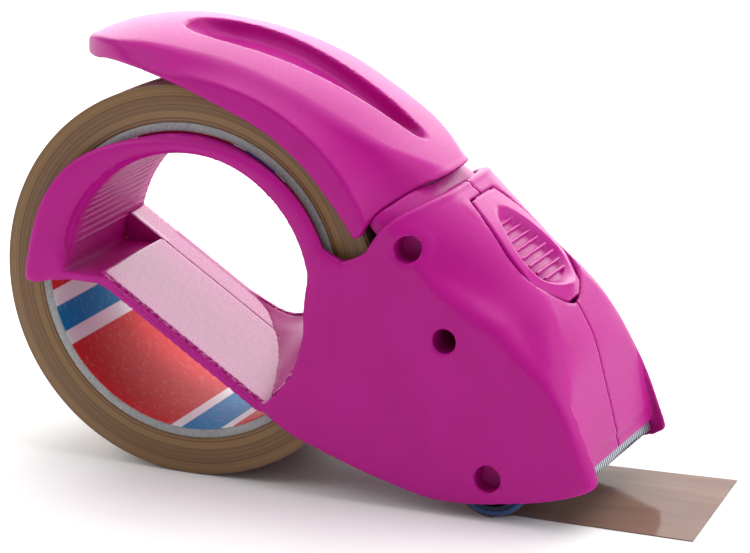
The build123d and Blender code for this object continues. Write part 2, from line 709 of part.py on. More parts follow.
with BuildPart() as guard_neck:
    add(neck_form(NECK_INSET, NECK_START, 0.6))
    add(neck_form(NECK_INSET + NECK_WALL, NECK_START - 1, 2), mode=Mode.SUBTRACT)
    # it butts on the guard's end face
    with BuildSketch(spine_side(SIDE)):
        Polygon(*GUARD_END, (-30, -60), (-30, 30), align=None)
    extrude(amount=2 * SIDE, mode=Mode.SUBTRACT)
    # ears that hang on the pin
    for side in (EAR_OUTER, -EAR_INNER):
        with BuildSketch(side_plane(side)):
            with Locations(GUARD_LIFT_PIVOT):
                Circle(EAR_RADIUS)
            Polygon(
                from_spine(-5.4, -6.0),
                from_spine(3.0, -6.4),
                from_spine(3.5, -16.4),
                from_spine(-5.4, -16.2),
                align=None,
            )
        extrude(amount=EAR_OUTER - EAR_INNER)
    add(rod(GUARD_LIFT_PIVOT, GUARD_PIN_RADIUS + RUNNING, SIDE), mode=Mode.SUBTRACT)
    for hand in (-1, 1):
        add(boss(hand, GUARD_LIFT_PIVOT, RECESS_RADIUS + 1.7, EAR_OUTER, SIDE), mode=Mode.SUBTRACT)

with BuildPart() as guard_pin:
    add(rod(GUARD_LIFT_PIVOT, GUARD_PIN_RADIUS, GUARD_PIN_HALF))


# =============================================================== thumb button
BUTTON_LUG_AT = (36.0, -2.2)
BUTTON_CROWN = [(5.0, 0.9), (12.0, 2.0), (22.0, 2.9), (30.0, 3.6), (37.0, 4.6), (40.2, 4.5)]
RIDGE_START = 13.8
RIDGE_PITCH = 2.47
RIDGE_HALF = [4.8, 6.1, 6.8, 7.5, 7.4, 7.0, 6.0, 4.7]


def button_hollow():
    """The hollow under the thumb button."""
    lowered = [(t, s - BUTTON_WALL) for t, s in BUTTON_CROWN]
    with BuildPart() as hollow:
        extrude(button_outline(-BUTTON_WALL), amount=12, both=True)
        with BuildSketch(spine_side(20)):
            Polygon((9.0, -14), (9.0, lowered[1][1] - 0.4), *lowered[1:5], (37.0, -14), align=None)
        extrude(amount=40, mode=Mode.INTERSECT)
    return hollow.part


with BuildPart() as thumb_button:
    extrude(button_outline(0), amount=12, both=True)
    with BuildSketch(spine_side(20)):
        Polygon((0, -1.8), (0, 0.9), *BUTTON_CROWN, (45, 4.5), (45, -1.2), align=None)
    extrude(amount=40, mode=Mode.INTERSECT)
    add(button_hollow(), mode=Mode.SUBTRACT)
    # the free end swings past the end of its well
    with BuildSketch(spine_side(20)):
        Rectangle(200, 200)
        with Locations(BUTTON_PIVOT):
            Circle(BUTTON_END - BUTTON_PIVOT[0], mode=Mode.SUBTRACT)
        Polygon((-100, -100), (20, -100), (20, 100), (-100, 100), align=None, mode=Mode.SUBTRACT)
    extrude(amount=40, mode=Mode.SUBTRACT)
    # hinge lug on the pin, and the lug that pushes the blade
    with BuildSketch(spine_side(5.0)):
        with Locations(BUTTON_PIVOT):
            Circle(2.7)
        Polygon((4.6, -4.4), (9.8, -4.4), (9.8, 0.3), (5.4, 0.3), align=None)
    extrude(amount=10.0)
    add(rod(BUTTON_PIVOT_AT, PIN_RADIUS + RUNNING, SIDE), mode=Mode.SUBTRACT)
    with BuildSketch(spine_side(4.0)):
        with Locations(BUTTON_LUG_AT):
            Circle(1.8)
        Polygon((34.2, -2.2), (37.8, -2.2), (37.8, 3.6), (34.2, 3.2), align=None)
    extrude(amount=8.0)
    # grip ridges across the pad
    for k, half in enumerate(RIDGE_HALF):
        with BuildSketch(spine_side(half)):
            with Locations((RIDGE_START + RIDGE_PITCH * k, 2.12 + 0.2 * k)):
                Circle(0.6)
        extrude(amount=2 * half)

with BuildPart() as button_pin:
    add(rod(BUTTON_PIVOT_AT, PIN_RADIUS, BUTTON_PIN_HALF))

with BuildPart() as button_spring:
    start = (ROLL_X + BUTTON_PIVOT_AT[0], 5.8, ROLL_Z + BUTTON_PIVOT_AT[1])
    with BuildLine() as coil:
        Helix(pitch=0.95, height=3.3, radius=2.0, center=start, direction=(0, 1, 0))
    with BuildSketch(Plane(origin=coil.line @ 0, z_dir=coil.line % 0)):
        Circle(0.35)
    sweep()


# =============================================================== blade and its slide
def blade_teeth():
    """Outline of the blade's toothed edge, left to right."""
    count = int(BLADE_WIDTH / TOOTH_PITCH)
    step = BLADE_WIDTH / count
    edge = []
    for k in range(count):
        edge.append((BLADE_REACH - 1.1, -BLADE_WIDTH / 2 + k * step))
        edge.append((BLADE_REACH, -BLADE_WIDTH / 2 + (k + 0.5) * step))
    edge.append((BLADE_REACH - 1.1, BLADE_WIDTH / 2))
    return edge


RIVET_U = -5.6
RIVET_Y = 16.0

with BuildPart() as blade:
    with BuildSketch(FRONT_PLAN.offset(BLADE_FACE)):
        top = BLADE_REACH - BLADE_HEIGHT
        Polygon((top, BLADE_WIDTH / 2), (top, -BLADE_WIDTH / 2), *blade_teeth(), align=None)
        with Locations((RIVET_U, RIVET_Y), (RIVET_U, -RIVET_Y)):
            Circle(1.2, mode=Mode.SUBTRACT)
    extrude(amount=-BLADE_THICKNESS)

CARRIER_FACE = BLADE_FACE - BLADE_THICKNESS

with BuildPart() as blade_carrier:
    with BuildSketch(FRONT_PLAN.offset(CARRIER_FACE)):
        with Locations((-8.0, 0)):
            Rectangle(11.0, 46.0)
        with Locations((RIVET_U, RIVET_Y), (RIVET_U, -RIVET_Y)):
            Circle(1.2, mode=Mode.SUBTRACT)
    extrude(amount=-2.2)
    # stem up to the button's lug
    with BuildSketch(side_plane(5)):
        Polygon(
            (83.5, -1.96),
            (90.4, -1.96),
            (90.4, -4.0),
            from_front(-24, -2.9),
            from_front(-12, -2.9),
            from_front(-12, -3.7),
            from_front(-15, -4.0),
            from_front(-24, -4.1),
            (87.0, -4.4),
            (83.5, -4.0),
            align=None,
        )
    extrude(amount=10)

with BuildPart() as blade_rivets:
    with BuildSketch(FRONT_PLAN.offset(BLADE_FACE)):
        with Locations((RIVET_U, RIVET_Y), (RIVET_U, -RIVET_Y)):
            Circle(1.2)
    extrude(amount=-BLADE_THICKNESS - 2.2)
    with BuildSketch(FRONT_PLAN.offset(CARRIER_FACE - 2.2)):
        with Locations((RIVET_U, RIVET_Y), (RIVET_U, -RIVET_Y)):
            Circle(2.1)
    extrude(amount=-0.7)


# =============================================================== front roller
with BuildPart() as roller_tyre:
    add(rod(ROLLER_AT, TYRE_RADIUS, ROLLER_HALF))
    add(rod(ROLLER_AT, RIM_RADIUS, ROLLER_HALF), mode=Mode.SUBTRACT)

with BuildPart() as roller_core:
    with BuildSketch(side_plane(ROLLER_HALF)):
        with Locations(ROLLER_AT):
            Circle(RIM_RADIUS)
            Circle(RIM_RADIUS - RIM_WALL, mode=Mode.SUBTRACT)
    extrude(amount=2 * ROLLER_HALF)
    with BuildSketch(side_plane(STUB_END - 1.2)):
        with Locations(ROLLER_AT):
            Circle(3.2)
            with PolarLocations(5.5, 4, 20):
                Rectangle(5.6, 1.4)
    extrude(amount=2 * (STUB_END - 1.2))
    add(rod(ROLLER_AT, AXLE_RADIUS + RUNNING, SIDE), mode=Mode.SUBTRACT)

with BuildPart() as roller_axle:
    add(rod(ROLLER_AT, AXLE_RADIUS, AXLE_HALF))

with BuildPart() as guide_bar:
    add(rod(GUIDE_AT, GUIDE_RADIUS, GUIDE_HALF))
    add(rod(GUIDE_AT, PIN_RADIUS, GUIDE_PIN_HALF))


# =============================================================== screws of the case
with BuildPart() as case_screws:
    for at in SCREWS:
        add(boss(1, at, SCREW_RADIUS, 0, HEAD_SEAT))
        add(boss(-1, at, SCREW_RADIUS, 0, SCREW_GRIP - 0.5))
        add(boss(1, at, 2.9, HEAD_SEAT, HEAD_SEAT + 2.2))
        add(boss(1, at, 1.1, HEAD_SEAT + 1.0, HEAD_SEAT + 3), mode=Mode.SUBTRACT)


# =============================================================== tape
def tube(outer, inner):
    with BuildPart() as ring:
        with BuildSketch(side_plane(TAPE_WIDTH / 2)):
            Circle(outer)
            Circle(inner, mode=Mode.SUBTRACT)
        extrude(amount=TAPE_WIDTH)
    return ring.part


with BuildPart() as tape_winding:
    add(tube(ROLL_RADIUS, CORE_OUTER))

with BuildPart() as tape_core:
    add(tube(CORE_OUTER, CORE_BORE + LINING))

with BuildPart() as core_lining:
    add(tube(CORE_BORE + LINING, CORE_BORE))

# free tape from the roll's front, down behind the roller and under it
WEB_ROLL = ROLL_RADIUS + SHEET_GAP
WEB_ROLLER = TYRE_RADIUS + SHEET_GAP
LEG = math.hypot(*ROLLER_AT)
MIDDLE = TAPE_THICKNESS / 2
WRAP = math.degrees(math.atan2(ROLLER_AT[1], ROLLER_AT[0]))
WRAP += math.degrees(math.acos((WEB_ROLL + WEB_ROLLER + 2 * MIDDLE) / LEG))


def near_roll(radius):
    return (radius * math.cos(math.radians(WRAP)), radius * math.sin(math.radians(WRAP)))


def near_roller(radius, angle):
    return (
        ROLLER_AT[0] + radius * math.cos(math.radians(angle)),
        ROLLER_AT[1] + radius * math.sin(math.radians(angle)),
    )


with BuildPart() as tape_web:
    outer = WEB_ROLLER + TAPE_THICKNESS
    half_way = (WRAP + 180 + 270) / 2
    with BuildSketch(side_plane(TAPE_WIDTH / 2)):
        with BuildLine():
            Line(near_roll(WEB_ROLL), near_roller(outer, WRAP + 180))
            ThreePointArc(*[near_roller(outer, angle) for angle in (WRAP + 180, half_way, 270)])
            Line(near_roller(outer, 270), near_roller(WEB_ROLLER, 270))
            ThreePointArc(*[near_roller(WEB_ROLLER, angle) for angle in (270, half_way, WRAP + 180)])
            Line(near_roller(WEB_ROLLER, WRAP + 180), near_roll(WEB_ROLL + TAPE_THICKNESS))
            Line(near_roll(WEB_ROLL + TAPE_THICKNESS), near_roll(WEB_ROLL))
        make_face()
    extrude(amount=TAPE_WIDTH)

with BuildPart() as tape_strip:
    with BuildSketch(Plane(origin=(ROLL_X, 0, 0))):
        Polygon(
            (ROLLER_AT[0], -TAPE_WIDTH / 2),
            (ROLLER_AT[0] + 5, SIDE - TAPE_WIDTH),
            (STRIP_END + STRIP_SKEW / 2, SIDE - TAPE_WIDTH),
            (STRIP_END - STRIP_SKEW / 2, SIDE),
            (ROLLER_AT[0], TAPE_WIDTH / 2),
            align=None,
        )
    extrude(amount=TAPE_THICKNESS)


# =============================================================== write the parts
PIECES = {
    "near_shell": near_shell,
    "far_shell": far_shell,
    "grip_plate": grip_plate,
    "ring_cap": ring_cap,
    "guard": guard,
    "guard_neck": guard_neck,
    "guard_pin": guard_pin,
    "thumb_button": thumb_button,
    "button_pin": button_pin,
    "button_spring": button_spring,
    "blade": blade,
    "blade_carrier": blade_carrier,
    "blade_rivets": blade_rivets,
    "roller_tyre": roller_tyre,
    "roller_core": roller_core,
    "roller_axle": roller_axle,
    "guide_bar": guide_bar,
    "case_screws": case_screws,
    "tape_winding": tape_winding,
    "tape_core": tape_core,
    "core_lining": core_lining,
    "tape_web": tape_web,
    "tape_strip": tape_strip,
}
os.makedirs("parts", exist_ok=True)
for name, piece in PIECES.items():
    piece.part.label = name
    export_step(piece.part, f"parts/{name}.step")
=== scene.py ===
import math

import bpy
import numpy as np
from mathutils import Matrix, Vector

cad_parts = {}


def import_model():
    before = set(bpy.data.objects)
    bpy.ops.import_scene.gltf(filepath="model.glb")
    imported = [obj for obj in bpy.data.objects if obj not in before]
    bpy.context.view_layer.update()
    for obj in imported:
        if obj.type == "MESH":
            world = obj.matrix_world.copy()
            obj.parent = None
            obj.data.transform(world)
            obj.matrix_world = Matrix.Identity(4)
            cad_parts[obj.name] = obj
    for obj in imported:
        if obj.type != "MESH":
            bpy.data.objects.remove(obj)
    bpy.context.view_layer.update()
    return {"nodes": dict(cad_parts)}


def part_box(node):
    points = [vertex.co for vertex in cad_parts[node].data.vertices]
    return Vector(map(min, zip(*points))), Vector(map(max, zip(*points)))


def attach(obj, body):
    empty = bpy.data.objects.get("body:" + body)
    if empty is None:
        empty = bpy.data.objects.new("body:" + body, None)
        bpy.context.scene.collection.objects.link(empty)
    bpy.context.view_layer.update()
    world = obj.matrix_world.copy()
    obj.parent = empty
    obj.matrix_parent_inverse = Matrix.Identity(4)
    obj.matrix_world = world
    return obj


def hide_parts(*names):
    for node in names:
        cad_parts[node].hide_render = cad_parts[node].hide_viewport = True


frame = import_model()

# Every length below is in millimetres from the roll's axis: X forward, Y to the left, Z up.
MM = 0.001
roll_low, roll_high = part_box("tape_winding")
AXIS = (roll_low + roll_high) / 2
COARSE = 1.0


def world(points):
    """Millimetres from the roll's axis to the row's frame in metres."""
    return np.asarray(points, float) * MM + np.array([AXIS.x, 0.0, AXIS.z])


# ------------------------------------------------------------------ curves and outlines
def curve(x, knots):
    """A smooth curve through the knots, straight beyond them."""
    kx = np.array([k[0] for k in knots], float)
    ky = np.array([k[1] for k in knots], float)
    slope = np.gradient(ky, kx)
    i = np.clip(np.searchsorted(kx, x) - 1, 0, len(kx) - 2)
    run = kx[i + 1] - kx[i]
    u = (x - kx[i]) / run
    h = np.clip(u, 0, 1)
    value = (
        (2 * h**3 - 3 * h**2 + 1) * ky[i]
        + (h**3 - 2 * h**2 + h) * run * slope[i]
        + (3 * h**2 - 2 * h**3) * ky[i + 1]
        + (h**3 - h**2) * run * slope[i + 1]
    )
    after = np.where(u > 1, (u - 1) * run * slope[i + 1], 0)
    before = np.where(u < 0, u * run * slope[i], 0)
    return value + after + before


def spline(points, steps=6):
    """Points along a smooth line through the given ones."""
    p = np.array(points, float)
    ends = np.vstack([2 * p[0] - p[1], p, 2 * p[-1] - p[-2]])
    out = []
    for a, b, c, d in zip(ends, ends[1:], ends[2:], ends[3:]):
        for k in range(steps):
            u = k / steps
            square = (2 * a - 5 * b + 4 * c - d) * u**2
            cube = (3 * b - a - 3 * c + d) * u**3
            out.append(0.5 * (2 * b + (c - a) * u + square + cube))
    return [tuple(q) for q in out] + [tuple(p[-1])]


def outline(points):
    """Signed distance from a closed outline, as a function of the two coordinates."""
    p = np.array(points, float)
    q = np.roll(p, -1, axis=0)

    def distance(x, z):
        nearest = None
        inside = None
        for (ax, az), (bx, bz) in zip(p, q):
            ex, ez = bx - ax, bz - az
            if ex == 0 and ez == 0:
                continue
            dx, dz = x - ax, z - az
            h = np.clip((dx * ex + dz * ez) / (ex * ex + ez * ez), 0, 1)
            d = (dx - h * ex) ** 2 + (dz - h * ez) ** 2
            nearest = d if nearest is None else np.minimum(nearest, d)
            if az != bz:
                side = ((az > z) != (bz > z)) & (x < ex * (z - az) / ez + ax)
                inside = side if inside is None else inside ^ side
        return np.where(inside, -1.0, 1.0) * np.sqrt(nearest)

    return distance


def smax(a, b, k):
    """Intersection of two solids, rounded over a width k."""
    h = np.maximum(k - np.abs(a - b), 0) / k
    return np.maximum(a, b) + h * h * k / 4


def smin(a, b, k):
    """Union of two solids, filleted over a width k."""
    return -smax(-a, -b, k)


def ramp(x, low, high):
    """0 below low, 1 above high, and smooth between them."""
    u = np.clip((x - low) / (high - low), 0, 1)
    return u * u * (3 - 2 * u)


def drum(x, z, at, radius):
    """Signed distance from an endless round bar across the tape."""
    return np.hypot(x - at[0], z - at[1]) - radius


def span(y, low, high):
    """Signed distance from the slab between two values of a coordinate."""
    return np.maximum(low - y, y - high)


# ------------------------------------------------------------------ meshes
def surface(field, low, high, cell):
    """Points and quads of the surface where the field is zero, the points drawn onto it."""
    axes = [np.arange(low[k] - 1.5 * cell, high[k] + 2.5 * cell, cell) for k in range(3)]
    value = field(axes[0][:, None, None], axes[1][None, :, None], axes[2][None, None, :])
    value = np.broadcast_to(value, [len(a) for a in axes]).astype(np.float32)
    inside = value < 0
    cells = tuple(n - 1 for n in value.shape)
    total = np.zeros(cells + (3,), np.float32)
    count = np.zeros(cells, np.float32)
    crossings = []
    for axis in range(3):
        first = tuple(slice(None, -1) if k == axis else slice(None) for k in range(3))
        second = tuple(slice(1, None) if k == axis else slice(None) for k in range(3))
        hit = inside[first] != inside[second]
        gap = value[first] - value[second]
        part = np.where(hit, value[first] / np.where(gap == 0, 1, gap), 0)
        crossings.append(hit)
        others = [k for k in range(3) if k != axis]
        for i in (0, 1):
            for j in (0, 1):
                pick = [slice(None)] * 3
                pick[others[0]] = slice(i, i + cells[others[0]])
                pick[others[1]] = slice(j, j + cells[others[1]])
                pick = tuple(pick)
                total[..., axis] += part[pick]
                total[..., others[0]] += i * hit[pick]
                total[..., others[1]] += j * hit[pick]
                count += hit[pick]
    used = count > 0
    index = np.full(cells, -1, np.int64)
    index[used] = np.arange(used.sum())
    place = np.argwhere(used) + total[used] / count[used][:, None]
    points = np.array([a[0] for a in axes]) + place * cell
    quads = []
    for axis in range(3):
        others = [(axis + 1) % 3, (axis + 2) % 3]
        at = np.argwhere(crossings[axis])
        keep = (at[:, others[0]] > 0) & (at[:, others[1]] > 0)
        keep &= (at[:, others[0]] < cells[others[0]]) & (at[:, others[1]] < cells[others[1]])
        at = at[keep]
        corners = []
        for i, j in ((1, 1), (0, 1), (0, 0), (1, 0)):
            c = at.copy()
            c[:, others[0]] -= i
            c[:, others[1]] -= j
            corners.append(index[c[:, 0], c[:, 1], c[:, 2]])
        face = np.stack(corners, 1)
        flip = ~inside[at[:, 0], at[:, 1], at[:, 2]]
        face[flip] = face[flip][:, ::-1]
        quads.append(face)
    step = 0.04  # for the field's slope by differences
    for _ in range(3):
        here = field(*points.T)
        slope = np.stack([(field(*(points + step * np.eye(3)[k]).T) - here) / step for k in range(3)], 1)
        move = here[:, None] * slope / np.maximum((slope**2).sum(1), 0.2)[:, None]
        length = np.linalg.norm(move, axis=1, keepdims=True)
        points = points - move * np.minimum(1, 0.5 * cell / np.maximum(length, 1e-9))
    return points, np.concatenate(quads)


def revolve(profile, at, turns=160):
    """Mesh of a closed profile of (across the tape, radius) turned round an axis across the tape."""
    n = len(profile)
    points = []
    quads = []
    for k in range(turns):
        a = 2 * math.pi * k / turns
        points += [(at[0] + r * math.cos(a), y, at[1] + r * math.sin(a)) for y, r in profile]
        for i in range(n):
            j = (i + 1) % n
            m = (k + 1) % turns
            quads.append((k * n + i, k * n + j, m * n + j, m * n + i))
    return np.array(points), np.array(quads)


def joined(*meshes):
    """Several meshes as one."""
    points = []
    quads = []
    start = 0
    for p, q in meshes:
        points.append(p)
        quads.append(np.asarray(q) + start)
        start += len(p)
    return np.concatenate(points), np.concatenate(quads)


def piece(name, mesh, node, body, material):
    """A visual piece that stands for a node of the CAD model."""
    points, quads = mesh
    data = bpy.data.meshes.new(name)
    data.from_pydata(world(points).tolist(), [], np.asarray(quads).tolist())
    data.validate()
    data.materials.append(material)
    obj = bpy.data.objects.new(name, data)
    bpy.context.scene.collection.objects.link(obj)
    data.polygons.foreach_set("use_smooth", [True] * len(data.polygons))
    data.set_sharp_from_angle(angle=math.radians(50))
    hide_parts(node)
    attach(obj, body)
    print("piece", name, len(points), len(quads))
    return obj


# ------------------------------------------------------------------ shape of the case
SPINE_TOP = (63.8, 27.4)
SPINE = math.radians(45.6)
FRONT_FOOT = (106.1, -35.4)
FRONT = math.radians(74.4)
WALL = 2.2
SIDE = 29.0  # half the width across both halves of the case
CHEEK = 25.3  # half the space between the cheeks, where the front wall lies
PIVOT_AT = (59.1, 15.9)
ROLLER_AT = (81.8, -38.9)
SCREW_AT = (69.6, -5.6)
LOWER_SCREW_AT = (46.6, -34.6)
FRONT_SCREW_AT = (93.6, -21.5)
GUIDE_AT = (57.0, -14.4)
ROOM = 51.6  # radius of the space round the roll


def along_spine(x, z):
    """Distance along the case's back and out of it."""
    dx, dz = x - SPINE_TOP[0], z - SPINE_TOP[1]
    return dx * math.cos(SPINE) - dz * math.sin(SPINE), dx * math.sin(SPINE) + dz * math.cos(SPINE)


def from_spine(t, s):
    return (
        SPINE_TOP[0] + t * math.cos(SPINE) + s * math.sin(SPINE),
        SPINE_TOP[1] - t * math.sin(SPINE) + s * math.cos(SPINE),
    )


def along_front(x, z):
    """Distance down the case's front and out of it."""
    dx, dz = x - FRONT_FOOT[0], z - FRONT_FOOT[1]
    return dx * math.cos(FRONT) - dz * math.sin(FRONT), dx * math.sin(FRONT) + dz * math.cos(FRONT)


# by distance along the spine: height of the back, half width of its flat, lean and rounding of its flanks,
# and height and lean of the shelf beside them
BACK = [(-16, -2.4), (0, 0), (4.7, 0.8), (21.8, 2.56), (39.2, 2.2), (47.6, 0.2), (60, -3.6), (90, -13.0)]
FLAT = [(-16, 20.4), (2, 22.2), (8, 20.6), (17, 18.9), (26, 18.1), (35, 19.1), (44, 22.8), (50, 25.3)]
FLAT += [(57, 26.3), (64, 26.6), (75, 26.0), (90, 27.4)]
LEAN = [(-16, 0.56), (14, 0.56), (36, 0.36), (90, 0.36)]
ROUND = [(-16, 12.0), (5, 11.5), (25, 9.0), (45, 5.5), (60, 5.0), (90, 5.0)]
RIDGE = [(-16, -14.6), (-3, -14), (13, -13.4), (24, -9), (35, -5.3), (41, -5.6), (48, -6.1), (55, -6.9)]
RIDGE += [(90, -22)]
SHELF = [(-16, 0.5), (15, 0.5), (30, 0.35), (45, 0.2), (90, 0.2)]


def back_form(t, s, w):
    """The case's rounded back and shoulders, endless downwards."""
    top = curve(t, BACK) - 0.0026 * w * w * ramp(t, 36, 56)
    flank = w - curve(t, FLAT) - curve(t, LEAN) * np.minimum(top - s, 16)
    raised = smax(s - top, flank * 0.92, curve(t, ROUND))
    raised = smax(raised, w - SIDE, 3.0)
    lean = curve(t, SHELF)
    shelf = curve(t, RIDGE) + lean * np.minimum(28.5 - w, 13.0)
    wide = smax((s - shelf) / np.sqrt(1 + lean * lean), w - SIDE, 4.0)
    return np.maximum(smin(raised, wide, 6.0), w - SIDE)


# underside of the case, from the foot of its front to the ring
BELLY = [(109.3, -35.6), (109.2, -37.4), (107.6, -38.8), (103.3, -40.7), (95.7, -43.0), (85.4, -44.9)]
BELLY += [(76.0, -46.1), (66.0, -45.9), (53.9, -43.0), (47.6, -41.2), (35.1, -36.9), (29.7, -34.8)]
BELLY += [(23.7, -31.2)]
# rear edge of the case round the neck, along the spine and out of it
MOUTH = [(-1.5, -19.5), (-2.1, -17.0), (-2.5, -15.5), (-2.8, -13.0), (-2.9, -10.6), (-2.6, -7.7)]
MOUTH += [(-1.8, -4.6), (-1.0, -2.1), (-0.3, 0.0), (0.0, 3.0)]
side_view = outline(
    spline(BELLY)
    + [(21.5, -28.2), (31.8, -15.0), (34.0, -5.0), (37.6, 13.2), (42.4, 11.0), (44.8, 11.9), (47.9, 13.6)]
    + spline([from_spine(*at) for at in MOUTH], 3)
    + [from_spine(0, 12), from_spine(60, 14), (125, 0), (116, -36)]
)
MOUTH_EDGE = [(s, t) for t, s in MOUTH]
LIP_HEIGHT, LIP_INSET, LIP_WIDTH = 0.3, 0.9, 0.7


def edge_lip(inward):
    """Height of the soft bead beside an edge, by distance inward from it."""
    return LIP_HEIGHT * np.exp(-(((inward - LIP_INSET) / LIP_WIDTH) ** 2))


def case_form(x, y, z):
    """The closed form of both halves of the case."""
    t, s = along_spine(x, z)
    w = np.abs(y)
    _, v = along_front(x, z)
    lip = edge_lip(t - curve(s, MOUTH_EDGE))
    form = smax(back_form(t, s, w) - np.where(s > -19, lip, 0), side_view(x, z), 0.9)
    # the front face lies back between the two cheeks
    return smax(form, -smax(-v, w - CHEEK, 0.8), 1.0)


def case_hollow(x, y, z):
    """The space inside both halves, a wall's thickness in from the back and the front."""
    t, s = along_spine(x, z)
    _, v = along_front(x, z)
    return smax(back_form(t, s, np.abs(y)) + WALL, v + WALL, 1.0)


# half width of the thumb button along the spine, and of the hollow pad in it
BUTTON_HALF = [(5.0, 7.6), (10.0, 9.6), (15.8, 11.5), (20.0, 12.7), (24.0, 13.4), (28.4, 13.6)]
BUTTON_HALF += [(32.0, 12.6), (35.0, 10.0), (37.0, 7.2), (38.6, 4.2), (39.4, 1.8), (39.6, 0.01)]
PAD_HALF = [(8.0, 0.01), (8.8, 1.8), (10.4, 3.8), (13.5, 6.2), (17.5, 8.5), (20.0, 9.6), (23.0, 10.6)]
PAD_HALF += [(26.0, 11.0), (28.5, 10.8), (31.0, 9.7), (33.0, 7.9), (34.8, 5.2), (35.7, 2.6), (36.0, 0.01)]


def leaf(halves, grow):
    """Plan outline with the given half widths, widened all round by grow."""
    plan = outline(spline(halves, 3) + [(t, -y) for t, y in reversed(spline(halves, 3)[:-1])])
    return lambda t, y: plan(t, y) - grow


well_plan = leaf(BUTTON_HALF, 0.4)
HINGE = (7.2, -4.4)  # the button's pin, along the spine and out of it
BUTTON_PIVOT_AT = from_spine(*HINGE)

POST_RADIUS = 3.9
# bosses inside: where, radius, and how far from the middle they start
POSTS = [
    (SCREW_AT, POST_RADIUS, 0.0),
    (PIVOT_AT, 5.4, 21.0),
    (PIVOT_AT, 4.0, 15.8),
    (ROLLER_AT, 4.9, 21.5),
    (GUIDE_AT, 2.15, 22.3),
]
# round recesses in the cheeks: where, radius, floor from the middle, and rounding of the rim
RECESSES = [(PIVOT_AT, 3.3, 22.3, 0.5), (ROLLER_AT, 3.4, 23.4, 0.5)]
NEAR_RECESSES = [(SCREW_AT, 3.1, 15.0, 0.5)]
FAR_RECESSES = [(at, 3.2, 22.0, 0.7) for at in (SCREW_AT, LOWER_SCREW_AT, FRONT_SCREW_AT)]


def case_details(form, x, y, z, hand):
    """One half of the case: hollow, bosses, recesses and button well. hand is -1 for the near half."""
    t, s = along_spine(x, z)
    u, v = along_front(x, z)
    w = np.abs(y)
    shell = smax(form, -case_hollow(x, y, z), 0.5)
    # below its foot the front is open between the cheeks
    shell = np.maximum(shell, -np.maximum(np.maximum(-u, w - CHEEK), -v - 6))
    # lowered strip along the foot of the front face
    shell = np.maximum(shell, -np.maximum(np.maximum(-u - 3.0, w - CHEEK), -v - 0.4))
    posts = np.minimum(drum(x, z, LOWER_SCREW_AT, POST_RADIUS), drum(x, z, FRONT_SCREW_AT, POST_RADIUS))
    for at, radius, start in POSTS:
        posts = np.minimum(posts, np.maximum(drum(x, z, at, radius), start - w))
    hanger = np.minimum(
        drum(x, z, BUTTON_PIVOT_AT, 2.45), np.maximum(np.abs(t - HINGE[0]) - 2.45, HINGE[1] - s)
    )
    posts = np.minimum(posts, np.maximum(hanger, span(w, 10.0, 12.4)))
    shell = smin(shell, np.maximum(posts, form + 0.2), 0.8)
    for at, radius, floor, rounding in RECESSES + (NEAR_RECESSES if hand < 0 else FAR_RECESSES):
        shell = smax(shell, -np.maximum(drum(x, z, at, radius), floor - w), rounding)
    return smax(shell, -np.maximum(well_plan(t, y), -s - 3.0), 0.7)


# ------------------------------------------------------------------ finger ring
# the plate's upper face in side view, from its rear to its front
SEAT = [(-22.1, 0.4), (21.7, -27.6)]
SEAT_LENGTH = math.hypot(SEAT[1][0] - SEAT[0][0], SEAT[1][1] - SEAT[0][1])
SEAT_DIR = ((SEAT[1][0] - SEAT[0][0]) / SEAT_LENGTH, (SEAT[1][1] - SEAT[0][1]) / SEAT_LENGTH)
FLANGE_INNER = -26.6  # inner face of the flange at the near side
CAP_START, CAP_END = 16.0, 17.2  # the end cap, across the tape
SHELF_START = 7.7  # where the cap's shelf takes over from the plate
PLATE_DEPTH = 1.2
BORE = 32.55  # how far out the cap's shelf and cheek reach inside the ring


def along_seat(x, z):
    """Distance along the plate and above it."""
    dx, dz = x - SEAT[0][0], z - SEAT[0][1]
    return dx * SEAT_DIR[0] + dz * SEAT_DIR[1], -dx * SEAT_DIR[1] + dz * SEAT_DIR[0]


# outer radius of the flange, by angle round the roll's axis
FLANGE = [(182, 44.0), (176, 43.4), (166, 43.0), (156, 42.9), (146, 42.4), (136, 41.5), (126, 40.1)]
FLANGE += [(116, 38.7), (106, 37.5), (96, 36.8), (86, 36.8), (76, 37.3), (66, 38.0), (56, 38.7)]
FLANGE += [(46, 39.2), (36, 39.5), (26, 39.6), (16, 40.0)]
flange_view = outline(
    spline([(r * math.cos(math.radians(a)), r * math.sin(math.radians(a))) for a, r in FLANGE], 3)
    + [(42, 10), (40, -20), (25.2, -30.1), (21, -28.2), (-19, -2.6), (-31.0, -2.4), (-36.5, -3.6)]
    + [(-41.1, -4.9), (-43.6, -4.3)]
)


def arc(radius, start, end, steps):
    """Points round the roll's axis between two angles in degrees."""
    angles = np.radians(np.linspace(start, end, steps))
    return [(radius * math.cos(a), radius * math.sin(a)) for a in angles]


# side views of the finger tunnel and of the ring's outside
hole_view = outline(
    arc(32.6, -7, 180.9, 90)
    + [(-21.5, -0.5), (-22.1, 0.4), (21.7, -27.6), (22.6, -28.3), (24.6, -26.1), (27.9, -22.5)]
    + [(30.1, -19.2), (31.3, -15.0), (32.8, -8.5)]
)
ring_view = outline(arc(35.4, -50, 182, 80) + [(-34.9, -2.5), (-23.8, -2.5), (19.6, -30.2), (22.4, -30.6)])
# where the gusset meets the plate, as distance along it by place across the tape
GUSSET_EDGE = [(-26.8, 52.9), (-19.5, 50.7), (-9.5, 46.9), (0.0, 42.6), (7.8, 37.6), (15.0, 31.5)]
GUSSET_EDGE += [(17.8, 26.3)]
# side view of the gusset's face at its two ends
GUSSET_NEAR = [(22.4, -28.8), (27.7, -22.7), (31.2, -15.2), (33.2, -3.8)]
GUSSET_FAR = [(0.4, -13.3), (8.9, -17.8), (14.3, -17.1), (32.6, -4.0)]


